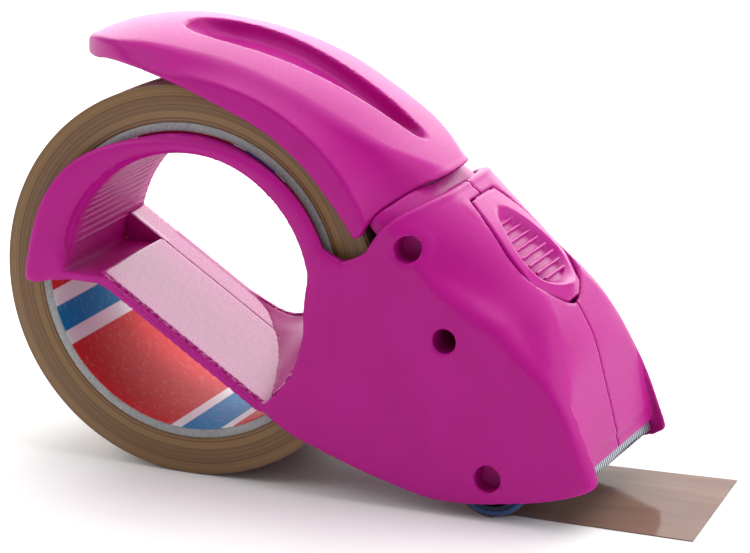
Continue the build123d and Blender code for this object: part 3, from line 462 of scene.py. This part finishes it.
def gusset_form(x, y, z):
    """Curved web that closes the lower front corner of the finger tunnel towards the far end."""
    (near, near_edge), (far, far_edge) = GUSSET_EDGE[0], GUSSET_EDGE[-1]
    k = (near_edge - curve(np.clip(y, near, far), GUSSET_EDGE)) / (near_edge - far_edge)
    faces = []
    sections = list(zip(GUSSET_NEAR, GUSSET_FAR))
    for ((ax, az), (cx, cz)), ((bx, bz), (dx, dz)) in zip(sections, sections[1:]):
        px, pz = ax + (cx - ax) * k, az + (cz - az) * k
        qx, qz = bx + (dx - bx) * k, bz + (dz - bz) * k
        length = np.hypot(qx - px, qz - pz)
        faces.append(((px - x) * (qz - pz) + (z - pz) * (qx - px)) / length)
    hole = smax(smax(-faces[0], -faces[1], 3.0), -faces[2], 3.0)
    return np.maximum(-hole, np.hypot(x, z) - 35.0) * 0.95


def ring_form(x, y, z):
    """Flange, barrel, bump, plate floor and gusset of the finger ring."""
    t, s = along_seat(x, z)
    r = np.hypot(x, z)
    turn = np.degrees(np.arctan2(z, x))
    flange = smax(flange_view(x, z), span(y, -SIDE, FLANGE_INNER), 2.2)
    barrel = np.maximum(ring_view(x, z), span(y, -27.5, CAP_START))
    bump = np.maximum(r - 37.7, np.maximum(span(turn, 36, 116) * 0.6, span(y, -27.0, CAP_START)))
    form = smin(flange, np.minimum(barrel, bump), 1.6)
    # the flange's inner edge is well rounded, except at the floor
    soft = 0.3 + 3.9 * (1 - ramp(y, -26.5, -23)) * ramp(z, -2, 7)
    form = smax(form, -hole_view(x, z), soft)
    # the far end belongs to the end cap below the ring
    form = np.maximum(form, -np.maximum(z + 0.4, np.maximum(7.6 - y, x + 19)))
    # seat of the plate
    plate = np.maximum(span(t, 0, SEAT_LENGTH + 1.4), span(y, -27.4, 16.5))
    form = np.maximum(form, -np.maximum(span(s, -PLATE_DEPTH, 0.05), plate))
    web = np.maximum(gusset_form(x, y, z), np.maximum(span(y, FLANGE_INNER, CAP_START), -s - 1.0))
    return smin(form, web, 1.0)


RIB_HEIGHT = 0.28
RIBS_PER_RADIAN = 97.5


def ring_ribs():
    """Rippled skin on the ring's inside, its ribs running across the tape and fading at both ends."""
    degrees = np.linspace(48, 176, 850)[:, None]
    turns = np.radians(degrees)
    across = np.array([-25.4, -24.2, -22.6, -20.5, -10.0, 0.0, 10.0, 15.6, 16.1])
    sunk = np.array([0.9, 0.35, 0.1, 0.0, 0.0, 0.0, 0.0, 0.0, 0.6])
    ends = ramp(degrees, 48, 60) * (1 - ramp(degrees, 168, 176))
    ripple = RIB_HEIGHT * ends * (np.cos(turns * RIBS_PER_RADIAN) - 0.4)
    radius = 32.45 - ripple + sunk + (1 - ends) * 0.4
    points = np.stack([radius * np.cos(turns), across + 0 * radius, radius * np.sin(turns)], 2)
    rows, columns = radius.shape
    corner = (np.arange(rows - 1)[:, None] * columns + np.arange(columns - 1)).ravel()
    quads = np.stack([corner, corner + columns, corner + columns + 1, corner + 1], 1)
    return points.reshape(-1, 3), quads


def near_field(x, y, z):
    body = case_details(case_form(x, y, z), x, y, z, -1)
    body = smax(body, y + 0.05, 0.7)
    body = smax(body, -np.maximum(np.hypot(x, z) - ROOM, FLANGE_INNER - y), 0.5)
    body = smax(body, -hole_view(x, z), 1.0)
    return smin(body, ring_form(x, y, z), 1.2)


def far_field(x, y, z):
    body = case_details(case_form(x, y, z), x, y, z, 1)
    body = smax(body, 0.05 - y, 0.7)
    return smax(body, ROOM - np.hypot(x, z), 0.8)


# ------------------------------------------------------------------ guard
# by angle round the roll's axis: radius of the crown, radius and half width of the crease beside it, and
# half width of the guard's foot
CROWN = [(15.0, 73.4), (27.1, 68.1), (37.6, 63.4), (50.3, 60.1), (65.2, 58.3), (79.6, 58.4)]
CROWN += [(94.1, 60.0), (108.7, 63.4), (118.0, 65.7), (125.9, 66.9), (134.0, 69.5)]
CREASE = [(15.0, 72.8), (27.1, 67.5), (37.6, 61.9), (50.3, 57.8), (65.2, 56.1), (79.6, 56.1)]
CREASE += [(94.1, 57.7), (108.7, 61.3), (118.0, 63.7), (125.9, 65.0), (134.0, 67.0)]
CREASE_HALF = [(15.0, 11.0), (27.1, 13.8), (37.6, 18.5), (50.3, 21.0), (65.2, 22.4), (79.6, 22.5)]
CREASE_HALF += [(94.1, 22.2), (108.7, 21.2), (118.0, 20.8), (134.0, 20.0)]
FOOT_HALF = [(15.0, 28.0), (94.1, 28.0), (108.7, 27.4), (118.0, 26.8), (134.0, 25.0)]
# end face of the guard at the neck, out of the spine and along it
GUARD_END = [(-40, -5.0), (-26, -4.2), (-19.2, -4.7), (-15.5, -6.1), (-12.0, -6.5), (-9.4, -6.2)]
GUARD_END += [(-6.1, -5.9), (-2.7, -5.0), (-0.4, -4.0), (1.5, -3.4), (8.0, -3.4), (20.0, -3.4)]
# lower edge of the guard in side view, from the neck to the nose
EDGE = [(46.6, 17.5), (44.7, 16.9), (42.3, 20.3), (36.7, 27.3), (29.9, 34.3), (19.7, 41.4), (6.0, 46.9)]
EDGE += [(-5.7, 50.6), (-16.0, 52.4), (-25.0, 52.6), (-31.0, 51.4), (-37.0, 50.6)]
guard_below = outline(spline(EDGE) + [(-90, 50.6), (-90, -60), (90, -60), (90, 17.5)])
# half widths from above: of the guard, and of the scoop in its crown
PLAN = [(-38.2, 0.01), (-37.4, 4.5), (-35, 9.0), (-30, 15.0), (-24, 19.8), (-15, 24.2), (-5, 26.8)]
PLAN += [(10, 28.3)]
guard_plan = outline(
    spline(PLAN) + [(90, 28.5), (90, -28.5)] + [(x, -y) for x, y in reversed(spline(PLAN))]
)
SCOOP = [(-12.0, 0.01), (-11.0, 4.4), (-8.0, 7.4), (-3.0, 9.6), (5.0, 10.2), (15.0, 9.2), (25.0, 7.6)]
SCOOP += [(35.0, 6.0), (45.0, 4.2), (51.5, 2.2), (54.0, 0.01)]
scoop_plan = outline(spline(SCOOP) + [(x, -y) for x, y in reversed(spline(SCOOP)[1:-1])])
# height of the scoop's floor, from rear to front
SCOOP_FLOOR = [(-14.0, 59.5), (-6.0, 55.2), (5.0, 53.0), (15.0, 51.0), (25.0, 47.4), (35.0, 42.4)]
SCOOP_FLOOR += [(45.0, 37.0), (54.0, 36.6)]


def guard_form(x, y, z):
    """Outside of the guard: a crowned top, and sides that fall away below a soft crease."""
    r = np.hypot(x, z)
    turn = np.degrees(np.arctan2(z, x))
    w = np.abs(y)
    crown = curve(turn, CROWN)
    crease = curve(turn, CREASE)
    half = curve(turn, CREASE_HALF)
    foot = curve(turn, FOOT_HALF)
    upper = r - (crown - (crown - crease) * (np.minimum(w, 1.15 * half) / half) ** 2)
    depth = np.clip((crease - r) / np.maximum(crease - 52.0, 1), -0.5, 1)
    bulge = np.where(depth > 0, 0.45 * depth + 0.55 * np.maximum(depth, 0) ** 2.0, 0.45 * depth)
    lower = (w - half - (foot - half) * bulge) * 0.85
    form = smax(upper, lower, 1.8 + 7.0 * ramp(-turn, -40, -22))
    return smax(form, guard_plan(x, y), 1.2)


def scoop_form(x, y, z, grow):
    """The long scoop in the crown, widened all round by grow."""
    floor = curve(x, SCOOP_FLOOR) + 0.012 * y * y
    return smax(scoop_plan(x, y) - grow, (floor - grow - z) * 0.9, 2.4)


GUARD_ROOM_HALF = 25.2  # half the space for the roll between the guard's sides


def guard_field(x, y, z):
    t, s = along_spine(x, z)
    form = guard_form(x, y, z) - edge_lip(curve(s, GUARD_END) - t)
    hollow = smax(form + WALL, -scoop_form(x, y, z, 1.8), 1.0)
    shell = smax(form, -hollow, 0.6)
    shell = smax(shell, -scoop_form(x, y, z, 0), 0.7)
    shell = smax(shell, -guard_below(x, z), 1.0)
    shell = smax(shell, t - curve(s, GUARD_END), 0.8)
    return np.maximum(shell, -np.maximum(np.hypot(x, z) - ROOM, np.abs(y) - GUARD_ROOM_HALF))


NECK_FOOT = -16.2  # lower end of the collar, out of the spine
NECK_DEPTHS = (-4.6, -3.0)  # its inner and outer face, below the surface
EAR_PLACES = (12.9, 15.3)  # the ears' two faces, from the middle


def neck_field(x, y, z):
    """Collar sunk below the surface of guard and case, with an ear on the pin at each side."""
    t, s = along_spine(x, z)
    w = np.abs(y)
    form = back_form(t, s, w)
    ends = np.maximum(curve(s, GUARD_END) + 0.05 - t, t - 0.6)
    band = np.maximum(span(form, *NECK_DEPTHS), np.maximum(ends, NECK_FOOT - s))
    ears = np.minimum(drum(x, z, PIVOT_AT, 5.4), np.maximum(span(t, -5.4, 3.2), span(s, NECK_FOOT, -6.2)))
    return smin(band, np.maximum(ears, span(w, *EAR_PLACES)), 0.8)


# ------------------------------------------------------------------ thumb button, in spine coordinates
button_view = leaf(BUTTON_HALF, 0)
pad_view = leaf(PAD_HALF, 0)
# height of the rim along the spine, and how it falls off with the square of the distance from the middle
CROWN_LINE = [(5.0, 1.2), (12.0, 2.3), (22.0, 3.2), (30.0, 3.9), (36.0, 4.6), (40.0, 4.7)]
CROWN_FALL = [(5.0, 0.003), (15.0, 0.004), (23.0, 0.006), (28.5, 0.009), (33.0, 0.018), (36.0, 0.03)]
# ribs across the pad: place along the spine and half length
RIDGES = [(13.8, 4.6), (16.3, 5.9), (18.8, 7.0), (21.3, 7.9), (23.8, 8.4), (26.3, 8.5), (28.8, 8.0)]
RIDGES += [(31.1, 6.8)]
BUTTON_WALL = 1.6
BUTTON_REACH = 32.3  # from the pin to the button's front end
PAD_DEPTH, RIB_DEPTH = 2.3, 1.25  # of the pad and of its ribs below the rim
PUSH = (36.0, -2.2)  # round end of the finger that pushes the blade slide
LUG_RADIUS, PIN_HOLE, PUSH_RADIUS = 2.7, 1.3, 1.8
LUG_HALF, PUSH_HALF = 5.0, 4.0  # half widths across the tape


def button_top(t, y):
    """Height of the button's top: a rim that falls off at both sides, round a hollow pad."""
    pad = pad_view(t, y)
    rim = curve(t, CROWN_LINE) - curve(np.clip(t, 5, 36), CROWN_FALL) * y * y
    width = curve(t, ROUND)
    beside = np.clip(1 - (curve(t, FLAT) - np.abs(y)) * 0.92 / width, 0, 1)
    foot = np.minimum(rim, curve(t, BACK) + 0.15 - 0.25 * width * beside**2)
    out = np.clip(pad / np.maximum(pad - button_view(t, y), 0.1), 0, 1) * ramp(t, 14, 26)
    return rim + (foot - rim) * out - PAD_DEPTH * ramp(-pad, 0, 3.4) * ramp(t, 8, 15)


def button_field(t, y, s):
    """The button with its ribs, its hollow underside, the lug on its pin and the pushing finger."""
    from_hinge = np.hypot(t - HINGE[0], s - HINGE[1])
    top = button_top(t, y)
    plan = button_view(t, y)
    form = smax(plan, s - top, 0.7)
    form = smax(form, -s - 1.8, 0.3)
    for at, half in RIDGES:
        ridge = smax(np.abs(t - at) - 0.36, s - curve(t, CROWN_LINE) + RIB_DEPTH, 0.4)
        ridge = np.maximum(ridge, np.maximum(np.abs(y) - half, -s))
        form = smin(form, ridge, 0.25)
    hollow = np.maximum(plan + BUTTON_WALL, s - top + BUTTON_WALL)
    form = np.maximum(form, -hollow)
    # the front end is an arc round the pin, so that it clears the well as it swings
    form = np.maximum(form, np.where(t > 20, from_hinge - BUTTON_REACH, -10))
    lug = np.maximum(np.abs(t - HINGE[0]) - 2.5, span(s, HINGE[1], 1.0))
    lug = np.minimum(from_hinge - LUG_RADIUS, lug)
    push = np.maximum(np.abs(t - PUSH[0]) - PUSH_RADIUS, span(s, PUSH[1], 3.0))
    push = np.minimum(np.hypot(t - PUSH[0], s - PUSH[1]) - PUSH_RADIUS, push)
    form = np.minimum(form, np.maximum(lug, np.abs(y) - LUG_HALF))
    form = np.minimum(form, np.maximum(push, np.abs(y) - PUSH_HALF))
    return np.maximum(form, PIN_HOLE - from_hinge)


def out_of_spine(mesh):
    """From spine coordinates back to millimetres from the roll's axis."""
    points, quads = mesh
    x, z = from_spine(points[:, 0], points[:, 2])
    return np.stack([x, points[:, 1], z], 1), quads[:, ::-1]


# ------------------------------------------------------------------ grip plate and end cap
def plate_field(x, y, z):
    t, s = along_seat(x, z)
    form = smax(span(s, -PLATE_DEPTH, 0.12), span(t, -0.5, SEAT_LENGTH + 1.0), 0.3)
    return smax(form, span(y, -27.7, 7.5), 0.3)


def cap_field(x, y, z):
    """End cap of the ring, the shelf that carries the plate's surface on, and the cheek behind it."""
    t, s = along_seat(x, z)
    web = np.maximum(gusset_form(x, 17.0, z), -s - 1.0)
    end = np.minimum(np.maximum(ring_view(x, z), -hole_view(x, z)), web)
    end = np.maximum(end, span(y, CAP_START, CAP_END))
    shelf = np.maximum(span(s, -2.4, 0), span(t, -13.0, SEAT_LENGTH - 0.6))
    shelf = np.maximum(shelf, span(y, SHELF_START, CAP_END))
    shelf = np.maximum(shelf, np.where(t < 3, np.hypot(x, z) - BORE, -5))
    cheek = np.maximum(np.hypot(x, z) - BORE, span(y, SHELF_START, 8.9))
    cheek = np.maximum(np.maximum(s, -1.15 - z), cheek)
    cheek = np.maximum(cheek, t - 1.5)
    return smin(smin(end, shelf, 0.4), cheek, 0.4)


# ------------------------------------------------------------------ materials
def new_material(name):
    """A material with a plain shader: the material, its tree, the shader and the place on the object."""
    material = bpy.data.materials.new(name)
    material.use_nodes = True
    tree = material.node_tree
    tree.nodes.clear()
    out = tree.nodes.new("ShaderNodeOutputMaterial")
    shader = tree.nodes.new("ShaderNodeBsdfPrincipled")
    tree.links.new(shader.outputs["BSDF"], out.inputs["Surface"])
    place = tree.nodes.new("ShaderNodeTexCoord").outputs["Object"]
    return material, tree, shader, place


def srgb(r, g, b):
    """Linear colour from the 0 to 255 values it is seen at."""
    return [((c / 255 + 0.055) / 1.055) ** 2.4 if c > 10 else c / 255 / 12.92 for c in (r, g, b)] + [1.0]


def add(tree, kind, **inputs):
    node = tree.nodes.new(kind)
    for key, value in inputs.items():
        node.inputs[key].default_value = value
    return node


def noise(tree, place, scale, detail):
    """Noise over a place, or over a single value."""
    node = add(tree, "ShaderNodeTexNoise", Scale=scale, Detail=detail)
    if place.type == "VALUE":
        node.noise_dimensions = "1D"
    tree.links.new(place, node.inputs["W" if place.type == "VALUE" else "Vector"])
    return node.outputs["Fac"]


def scaled(tree, place, scale):
    node = add(tree, "ShaderNodeMapping", Scale=scale)
    tree.links.new(place, node.inputs["Vector"])
    return node.outputs["Vector"]


def compute(tree, kind, operation, value, other=None):
    """A math node's result, from another node's output and a second output, a number or a vector."""
    node = tree.nodes.new(kind)
    node.operation = operation
    tree.links.new(value, node.inputs[0])
    if isinstance(other, bpy.types.NodeSocket):
        tree.links.new(other, node.inputs[1])
    elif other is not None:
        node.inputs[1].default_value = other
    return node.outputs[1 if operation in ("DOT_PRODUCT", "LENGTH") else 0]


def from_roll_axis(tree, place):
    return compute(tree, "ShaderNodeVectorMath", "SUBTRACT", place, (AXIS.x, 0, AXIS.z))


def split_xyz(tree, place):
    node = tree.nodes.new("ShaderNodeSeparateXYZ")
    tree.links.new(place, node.inputs[0])
    return [node.outputs[axis] for axis in "XYZ"]


def blend(tree, factor, low, high):
    """Mix of two colours, each given as a colour or as another node's output."""
    mix = tree.nodes.new("ShaderNodeMix")
    mix.data_type = "RGBA"
    tree.links.new(factor, mix.inputs[0])
    for socket, colour in ((mix.inputs[6], low), (mix.inputs[7], high)):
        if isinstance(colour, list):
            socket.default_value = colour
        else:
            tree.links.new(colour, socket)
    return mix.outputs[2]


def stretch(tree, value, low, high, out_low=0.0, out_high=1.0):
    """The range from low to high mapped to another one, and held at its ends."""
    node = tree.nodes.new("ShaderNodeMapRange")
    tree.links.new(value, node.inputs[0])
    for k, v in enumerate((low, high, out_low, out_high)):
        node.inputs[k + 1].default_value = v
    return node.outputs[0]


def bump(tree, shader, height, strength, distance):
    node = add(tree, "ShaderNodeBump", Strength=strength, Distance=distance)
    tree.links.new(height, node.inputs["Height"])
    tree.links.new(node.outputs["Normal"], shader.inputs["Normal"])


def plastic(name, low, high, rough, grain, fine=2600.0, gloss=0.22):
    """Moulded plastic: a fine spark-eroded grain, faint cloudiness in the colour and uneven roughness."""
    material, tree, shader, place = new_material(name)
    cloud = noise(tree, place, 60.0, 4.0)
    speck = noise(tree, place, fine, 2.0)
    mixed = blend(tree, stretch(tree, cloud, 0.35, 0.65), srgb(*low), srgb(*high))
    dark = [c * 0.86 for c in srgb(*low)[:3]] + [1.0]
    mixed = blend(tree, stretch(tree, speck, 0.62, 0.75, 0, 0.45), mixed, dark)
    tree.links.new(mixed, shader.inputs["Base Color"])
    shader.inputs["Specular IOR Level"].default_value = gloss
    uneven = stretch(tree, speck, 0.3, 0.7, rough - 0.06, rough + 0.08)
    tree.links.new(uneven, shader.inputs["Roughness"])
    bump(tree, shader, speck, grain, 0.0001)
    return material


def metal(name, colour, rough, scale):
    """Ground or turned steel: fine pale marks, squeezed together by the scale, and uneven roughness."""
    material, tree, shader, place = new_material(name)
    marks = noise(tree, scaled(tree, place, scale), 900.0, 3.0)
    mixed = blend(tree, marks, srgb(*colour), [1.0, 1.0, 1.0, 1.0])
    tree.links.new(mixed, shader.inputs["Base Color"])
    shader.inputs["Metallic"].default_value = 1.0
    uneven = stretch(tree, marks, 0.3, 0.7, rough - 0.08, rough + 0.1)
    tree.links.new(uneven, shader.inputs["Roughness"])
    bump(tree, shader, marks, 0.15, 0.00005)
    return material


case_plastic = plastic("case_plastic", (176, 8, 130), (182, 12, 136), 0.40, 0.55)
guard_plastic = plastic("guard_plastic", (176, 8, 130), (182, 12, 136), 0.40, 0.55)
button_plastic = plastic("button_plastic", (178, 10, 132), (184, 14, 138), 0.34, 0.3)
grip_plastic = plastic("grip_plastic", (180, 14, 134), (186, 18, 140), 0.26, 0.02, gloss=0.5)
slide_plastic = plastic("slide_plastic", (44, 44, 48), (52, 52, 56), 0.5, 0.2)
roller_blue = plastic("roller_blue", (52, 76, 116), (60, 86, 128), 0.55, 0.2, fine=1500.0)
roller_hub = plastic("roller_hub", (30, 40, 62), (38, 50, 74), 0.5, 0.2)
pin_steel = metal("pin_steel", (150, 152, 158), 0.35, (1, 12, 1))
spring_steel = metal("spring_steel", (150, 152, 158), 0.3, (1, 1, 1))
screw_steel = metal("screw_steel", (92, 94, 100), 0.4, (1, 1, 1))

TOOTH_PITCH = 0.0013  # metres
PAINTED_TOOTH_SHADE_BAND = (3.4, 3.6)  # where the painted stripes of tooth highlight and shade end, in millimetres below the foot of the case's front


def below_front(tree, place):
    """Distance in millimetres down the front face, from its foot."""
    foot = world([FRONT_FOOT[0], 0, FRONT_FOOT[1]])
    shift = compute(tree, "ShaderNodeVectorMath", "SUBTRACT", place, foot)
    down = (math.cos(FRONT) / MM, 0, -math.sin(FRONT) / MM)
    return compute(tree, "ShaderNodeVectorMath", "DOT_PRODUCT", shift, down)


def blade_metal():
    """Steel with painted stripes, one pair to a tooth: a painted highlight and a painted shade on each
    tooth's two faces.
    """
    material = metal("blade_steel", (128, 136, 148), 0.42, (1, 30, 1))
    tree = material.node_tree
    shader = next(n for n in tree.nodes if n.type == "BSDF_PRINCIPLED")
    place = tree.nodes.new("ShaderNodeTexCoord").outputs["Object"]
    base = shader.inputs["Base Color"].links[0].from_socket
    phase = compute(tree, "ShaderNodeMath", "MULTIPLY", split_xyz(tree, place)[1], 2 * math.pi / TOOTH_PITCH)
    wave = compute(tree, "ShaderNodeMath", "SINE", phase)
    # painted highlight and shade: a bright and a dark stripe for the two faces of each tooth
    painted_tooth_shade = blend(tree, stretch(tree, wave, -0.4, 0.4), srgb(72, 80, 94), srgb(196, 202, 212))
    band = stretch(tree, below_front(tree, place), *PAINTED_TOOTH_SHADE_BAND)
    tree.links.new(blend(tree, band, painted_tooth_shade, base), shader.inputs["Base Color"])
    return material


blade_steel = blade_metal()
ROLL_RADIUS = 49.8
TAPE_HALF = 25.0


def winding_material():
    """Sides of the roll: edges of the wound layers, lightened towards gold in broad rings as a painted
    sheen. Outside: glossy brown film.
    """
    material, tree, shader, place = new_material("tape_side")
    flat = compute(tree, "ShaderNodeVectorMath", "MULTIPLY", from_roll_axis(tree, place), (1, 0, 1))
    radius = compute(tree, "ShaderNodeVectorMath", "LENGTH", flat)
    layers = noise(tree, radius, 2400.0, 4.0)
    painted_sheen = noise(tree, radius, 320.0, 2.0)
    base = blend(tree, stretch(tree, layers, 0.32, 0.68), srgb(82, 54, 30), srgb(134, 98, 62))
    # painted highlight: broad rings over the radius lightened towards gold
    base = blend(tree, stretch(tree, painted_sheen, 0.5, 0.8, 0, 0.25), base, srgb(176, 140, 88))
    outside = stretch(tree, radius, (ROLL_RADIUS - 0.15) * MM, (ROLL_RADIUS - 0.05) * MM)
    base = blend(tree, outside, base, srgb(132, 104, 86))
    tree.links.new(base, shader.inputs["Base Color"])
    tree.links.new(stretch(tree, outside, 0, 1, 0.5, 0.12), shader.inputs["Roughness"])
    bump(tree, shader, layers, 0.4, 0.00008)
    return material


def film_material():
    """Brown translucent film with a glossy, slightly rippled outside."""
    material, tree, shader, place = new_material("tape_film")
    ripple = noise(tree, scaled(tree, place, (1.0, 4.0, 1.0)), 26.0, 3.0)
    tint = blend(tree, stretch(tree, ripple, 0.35, 0.65), srgb(128, 100, 88), srgb(140, 112, 98))
    tree.links.new(tint, shader.inputs["Base Color"])
    shader.inputs["Roughness"].default_value = 0.1
    shader.inputs["Specular IOR Level"].default_value = 0.02
    shader.inputs["Alpha"].default_value = 0.9
    bump(tree, shader, ripple, 0.3, 0.0006)
    return material


def board_material():
    """Grey board with paler blotches."""
    material, tree, shader, place = new_material("board")
    fibre = noise(tree, place, 1400.0, 5.0)
    blotch = noise(tree, place, 180.0, 3.0)
    base = blend(tree, stretch(tree, fibre, 0.3, 0.7), srgb(128, 128, 132), srgb(166, 166, 168))
    base = blend(tree, stretch(tree, blotch, 0.45, 0.7, 0, 0.4), base, srgb(176, 172, 166))
    tree.links.new(base, shader.inputs["Base Color"])
    shader.inputs["Roughness"].default_value = 0.85
    bump(tree, shader, fibre, 0.4, 0.0001)
    return material


WHITE, BLUE, RED = (236, 236, 238), (0, 124, 184), (206, 30, 40)
# printed bands by the angle at which each ends, in degrees
LINING_BANDS = [(-169.5, RED), (-163.0, WHITE), (-153.0, BLUE), (-147.5, WHITE), (-96.5, RED)]
LINING_BANDS += [(-92.2, WHITE), (-75.7, BLUE), (-70.5, WHITE), (-24.0, RED), (-19.0, WHITE), (-5.0, BLUE)]
LINING_BANDS += [(0.0, WHITE), (48.0, RED), (53.0, WHITE), (67.0, BLUE), (72.0, WHITE), (112.0, RED)]
LINING_BANDS += [(118.0, WHITE), (124.0, BLUE), (130.0, WHITE), (180.0, RED)]
PRINT_EDGE = 0.004  # half width of the soft edge of a band, in radians


def lining_material():
    """Printed paper: plain bands of colour that run across the tape."""
    material, tree, shader, place = new_material("lining_print")
    x, _, z = split_xyz(tree, from_roll_axis(tree, place))
    turn = compute(tree, "ShaderNodeMath", "ARCTAN2", z, x)
    paper = noise(tree, place, 700.0, 3.0)
    bands = srgb(*LINING_BANDS[0][1])
    for (start, _), (_, colour) in zip(LINING_BANDS, LINING_BANDS[1:]):
        edge = math.radians(start)
        past = stretch(tree, turn, edge - PRINT_EDGE, edge + PRINT_EDGE)
        bands = blend(tree, past, bands, srgb(*colour))
    worn = blend(tree, stretch(tree, paper, 0.55, 0.8, 0, 0.2), bands, srgb(225, 222, 218))
    tree.links.new(worn, shader.inputs["Base Color"])
    shader.inputs["Roughness"].default_value = 0.6
    shader.inputs["Specular IOR Level"].default_value = 0.1
    return material


tape_side = winding_material()
tape_film = film_material()
board = board_material()
lining_print = lining_material()

# ------------------------------------------------------------------ pieces
near_mesh = surface(near_field, (-45, -29.5, -47), (110, 16.5, 38), 0.75 * COARSE)
far_mesh = surface(far_field, (36, -0.5, -47), (110, 29.5, 29), 0.75 * COARSE)
guard_mesh = surface(guard_field, (-39, -29, 16), (62, 29, 60), 0.7 * COARSE)
neck_mesh = surface(neck_field, (40, -27, 5), (66, 27, 27), 0.6 * COARSE)
button_mesh = out_of_spine(surface(button_field, (4, -14.2, -8), (40.5, 14.2, 6), 0.27 * COARSE))
plate_mesh = surface(plate_field, (-23, -28, -30), (24, 8, 1.5), 0.5 * COARSE)
cap_mesh = surface(cap_field, (-37, 7, -31), (37, 18, 37), 0.5 * COARSE)
piece("near_case", joined(near_mesh, ring_ribs()), "near_shell", "case", case_plastic)
piece("far_case", far_mesh, "far_shell", "case", case_plastic)
piece("roll_guard", guard_mesh, "guard", "guard", guard_plastic)
piece("neck_collar", neck_mesh, "guard_neck", "guard", guard_plastic)
piece("push_button", button_mesh, "thumb_button", "button", button_plastic)
piece("finger_plate", plate_mesh, "grip_plate", "case", grip_plastic)
piece("finger_cap", cap_mesh, "ring_cap", "case", grip_plastic)


def rounded_ring(outer, inner, half, bevel):
    """Section of a ring with rounded corners, as (across the tape, radius)."""
    soft = bevel * 0.3
    return [
        (-half, inner + bevel), (-half, outer - bevel), (-half + soft, outer - soft),
        (-half + bevel, outer), (half - bevel, outer), (half - soft, outer - soft),
        (half, outer - bevel), (half, inner + bevel), (half - soft, inner + soft),
        (half - bevel, inner), (-half + bevel, inner), (-half + soft, inner + soft),
    ]


winding_mesh = revolve(rounded_ring(ROLL_RADIUS, 40.42, TAPE_HALF, 0.2), (0, 0), 240)
core_mesh = revolve(rounded_ring(40.4, 38.15, TAPE_HALF, 0.3), (0, 0), 240)
lining_mesh = revolve(rounded_ring(38.14, 38.0, TAPE_HALF - 0.1, 0.05), (0, 0), 240)
tyre_mesh = revolve(rounded_ring(10.4, 8.85, TAPE_HALF + 0.8, 0.5), ROLLER_AT, 120)
piece("winding", winding_mesh, "tape_winding", "roll", tape_side)
piece("core_tube", core_mesh, "tape_core", "roll", board)
piece("lining", lining_mesh, "core_lining", "roll", lining_print)
piece("tyre", tyre_mesh, "roller_tyre", "roller", roller_blue)

# CAD solids that show as they are, with a material
CARRIED = {
    "guard_pin": pin_steel,
    "button_pin": pin_steel,
    "button_spring": spring_steel,
    "blade": blade_steel,
    "blade_carrier": slide_plastic,
    "blade_rivets": pin_steel,
    "roller_core": roller_hub,
    "roller_axle": pin_steel,
    "guide_bar": slide_plastic,
    "case_screws": screw_steel,
    "tape_web": tape_film,
    "tape_strip": tape_film,
}
for name, material in CARRIED.items():
    data = frame["nodes"][name].data
    data.materials.clear()
    data.materials.append(material)

# ------------------------------------------------------------------ floor, light and camera
FLOOR_HALF, FLOOR_LEVEL = 6.0, -0.0001
floor_data = bpy.data.meshes.new("floor")
signs = ((-1, -1), (1, -1), (1, 1), (-1, 1))
floor_corners = [(x * FLOOR_HALF, y * FLOOR_HALF, FLOOR_LEVEL) for x, y in signs]
floor_data.from_pydata(floor_corners, [], [(0, 1, 2, 3)])
floor = bpy.data.objects.new("floor", floor_data)
bpy.context.scene.collection.objects.link(floor)
floor_material, _, floor_shader, _ = new_material("floor")
floor_shader.inputs["Base Color"].default_value = (0.9, 0.9, 0.9, 1)
floor_shader.inputs["Roughness"].default_value = 0.8
floor_data.materials.append(floor_material)


def lamp(name, at, aim, size, power):
    data = bpy.data.lights.new(name, "AREA")
    data.shape = "RECTANGLE"
    data.size, data.size_y = size
    data.energy = power
    obj = bpy.data.objects.new(name, data)
    bpy.context.scene.collection.objects.link(obj)
    obj.location = at
    obj.rotation_euler = (Vector(aim) - Vector(at)).to_track_quat("-Z", "Y").to_euler()


# name, where, what it points at, width and height in metres, and watts
LAMPS = [
    ("overhead", (0.1, 0.3, 1.3), (0.02, 0, 0.04), (1.4, 1.2), 14),
    ("key_left", (-1.0, -0.6, 0.9), (0, 0, 0.04), (0.9, 0.9), 6),
    ("wall_behind", (-0.5, 1.6, 0.75), (0, 0, 0.05), (2.6, 1.5), 48),
    ("wall_right", (1.5, 0.3, 0.7), (0, 0, 0.05), (1.6, 1.3), 15),
]
for settings in LAMPS:
    lamp(*settings)
SKY_STRENGTH = 0.3
sky = bpy.data.worlds.new("sky")
bpy.context.scene.world = sky
sky.use_nodes = True
sky.node_tree.nodes["Background"].inputs["Color"].default_value = (1, 1, 1, 1)
sky.node_tree.nodes["Background"].inputs["Strength"].default_value = SKY_STRENGTH
bpy.context.scene.view_settings.view_transform = "Standard"

# the camera fitted to the photograph: its axes, its place, and its lens and sensor in millimetres
RIGHT = Vector((0.9266, 0.3756, 0.0211))
DOWN = Vector((0.1187, -0.2386, -0.9638))
AHEAD = Vector((-0.3569, 0.8956, -0.2656))
CAMERA_AT = (415.2, -941.8, 279.3)
LENS, SENSOR = 201.68, 36.0
camera_data = bpy.data.cameras.new("camera")
camera_data.lens = LENS
camera_data.sensor_width = SENSOR
camera_data.clip_end = 20.0
camera = bpy.data.objects.new("camera", camera_data)
bpy.context.scene.collection.objects.link(camera)
turn = Matrix((RIGHT, -DOWN, -AHEAD)).transposed().to_4x4()
camera.matrix_world = Matrix.Translation(Vector(world(CAMERA_AT))) @ turn
bpy.context.scene.camera = camera
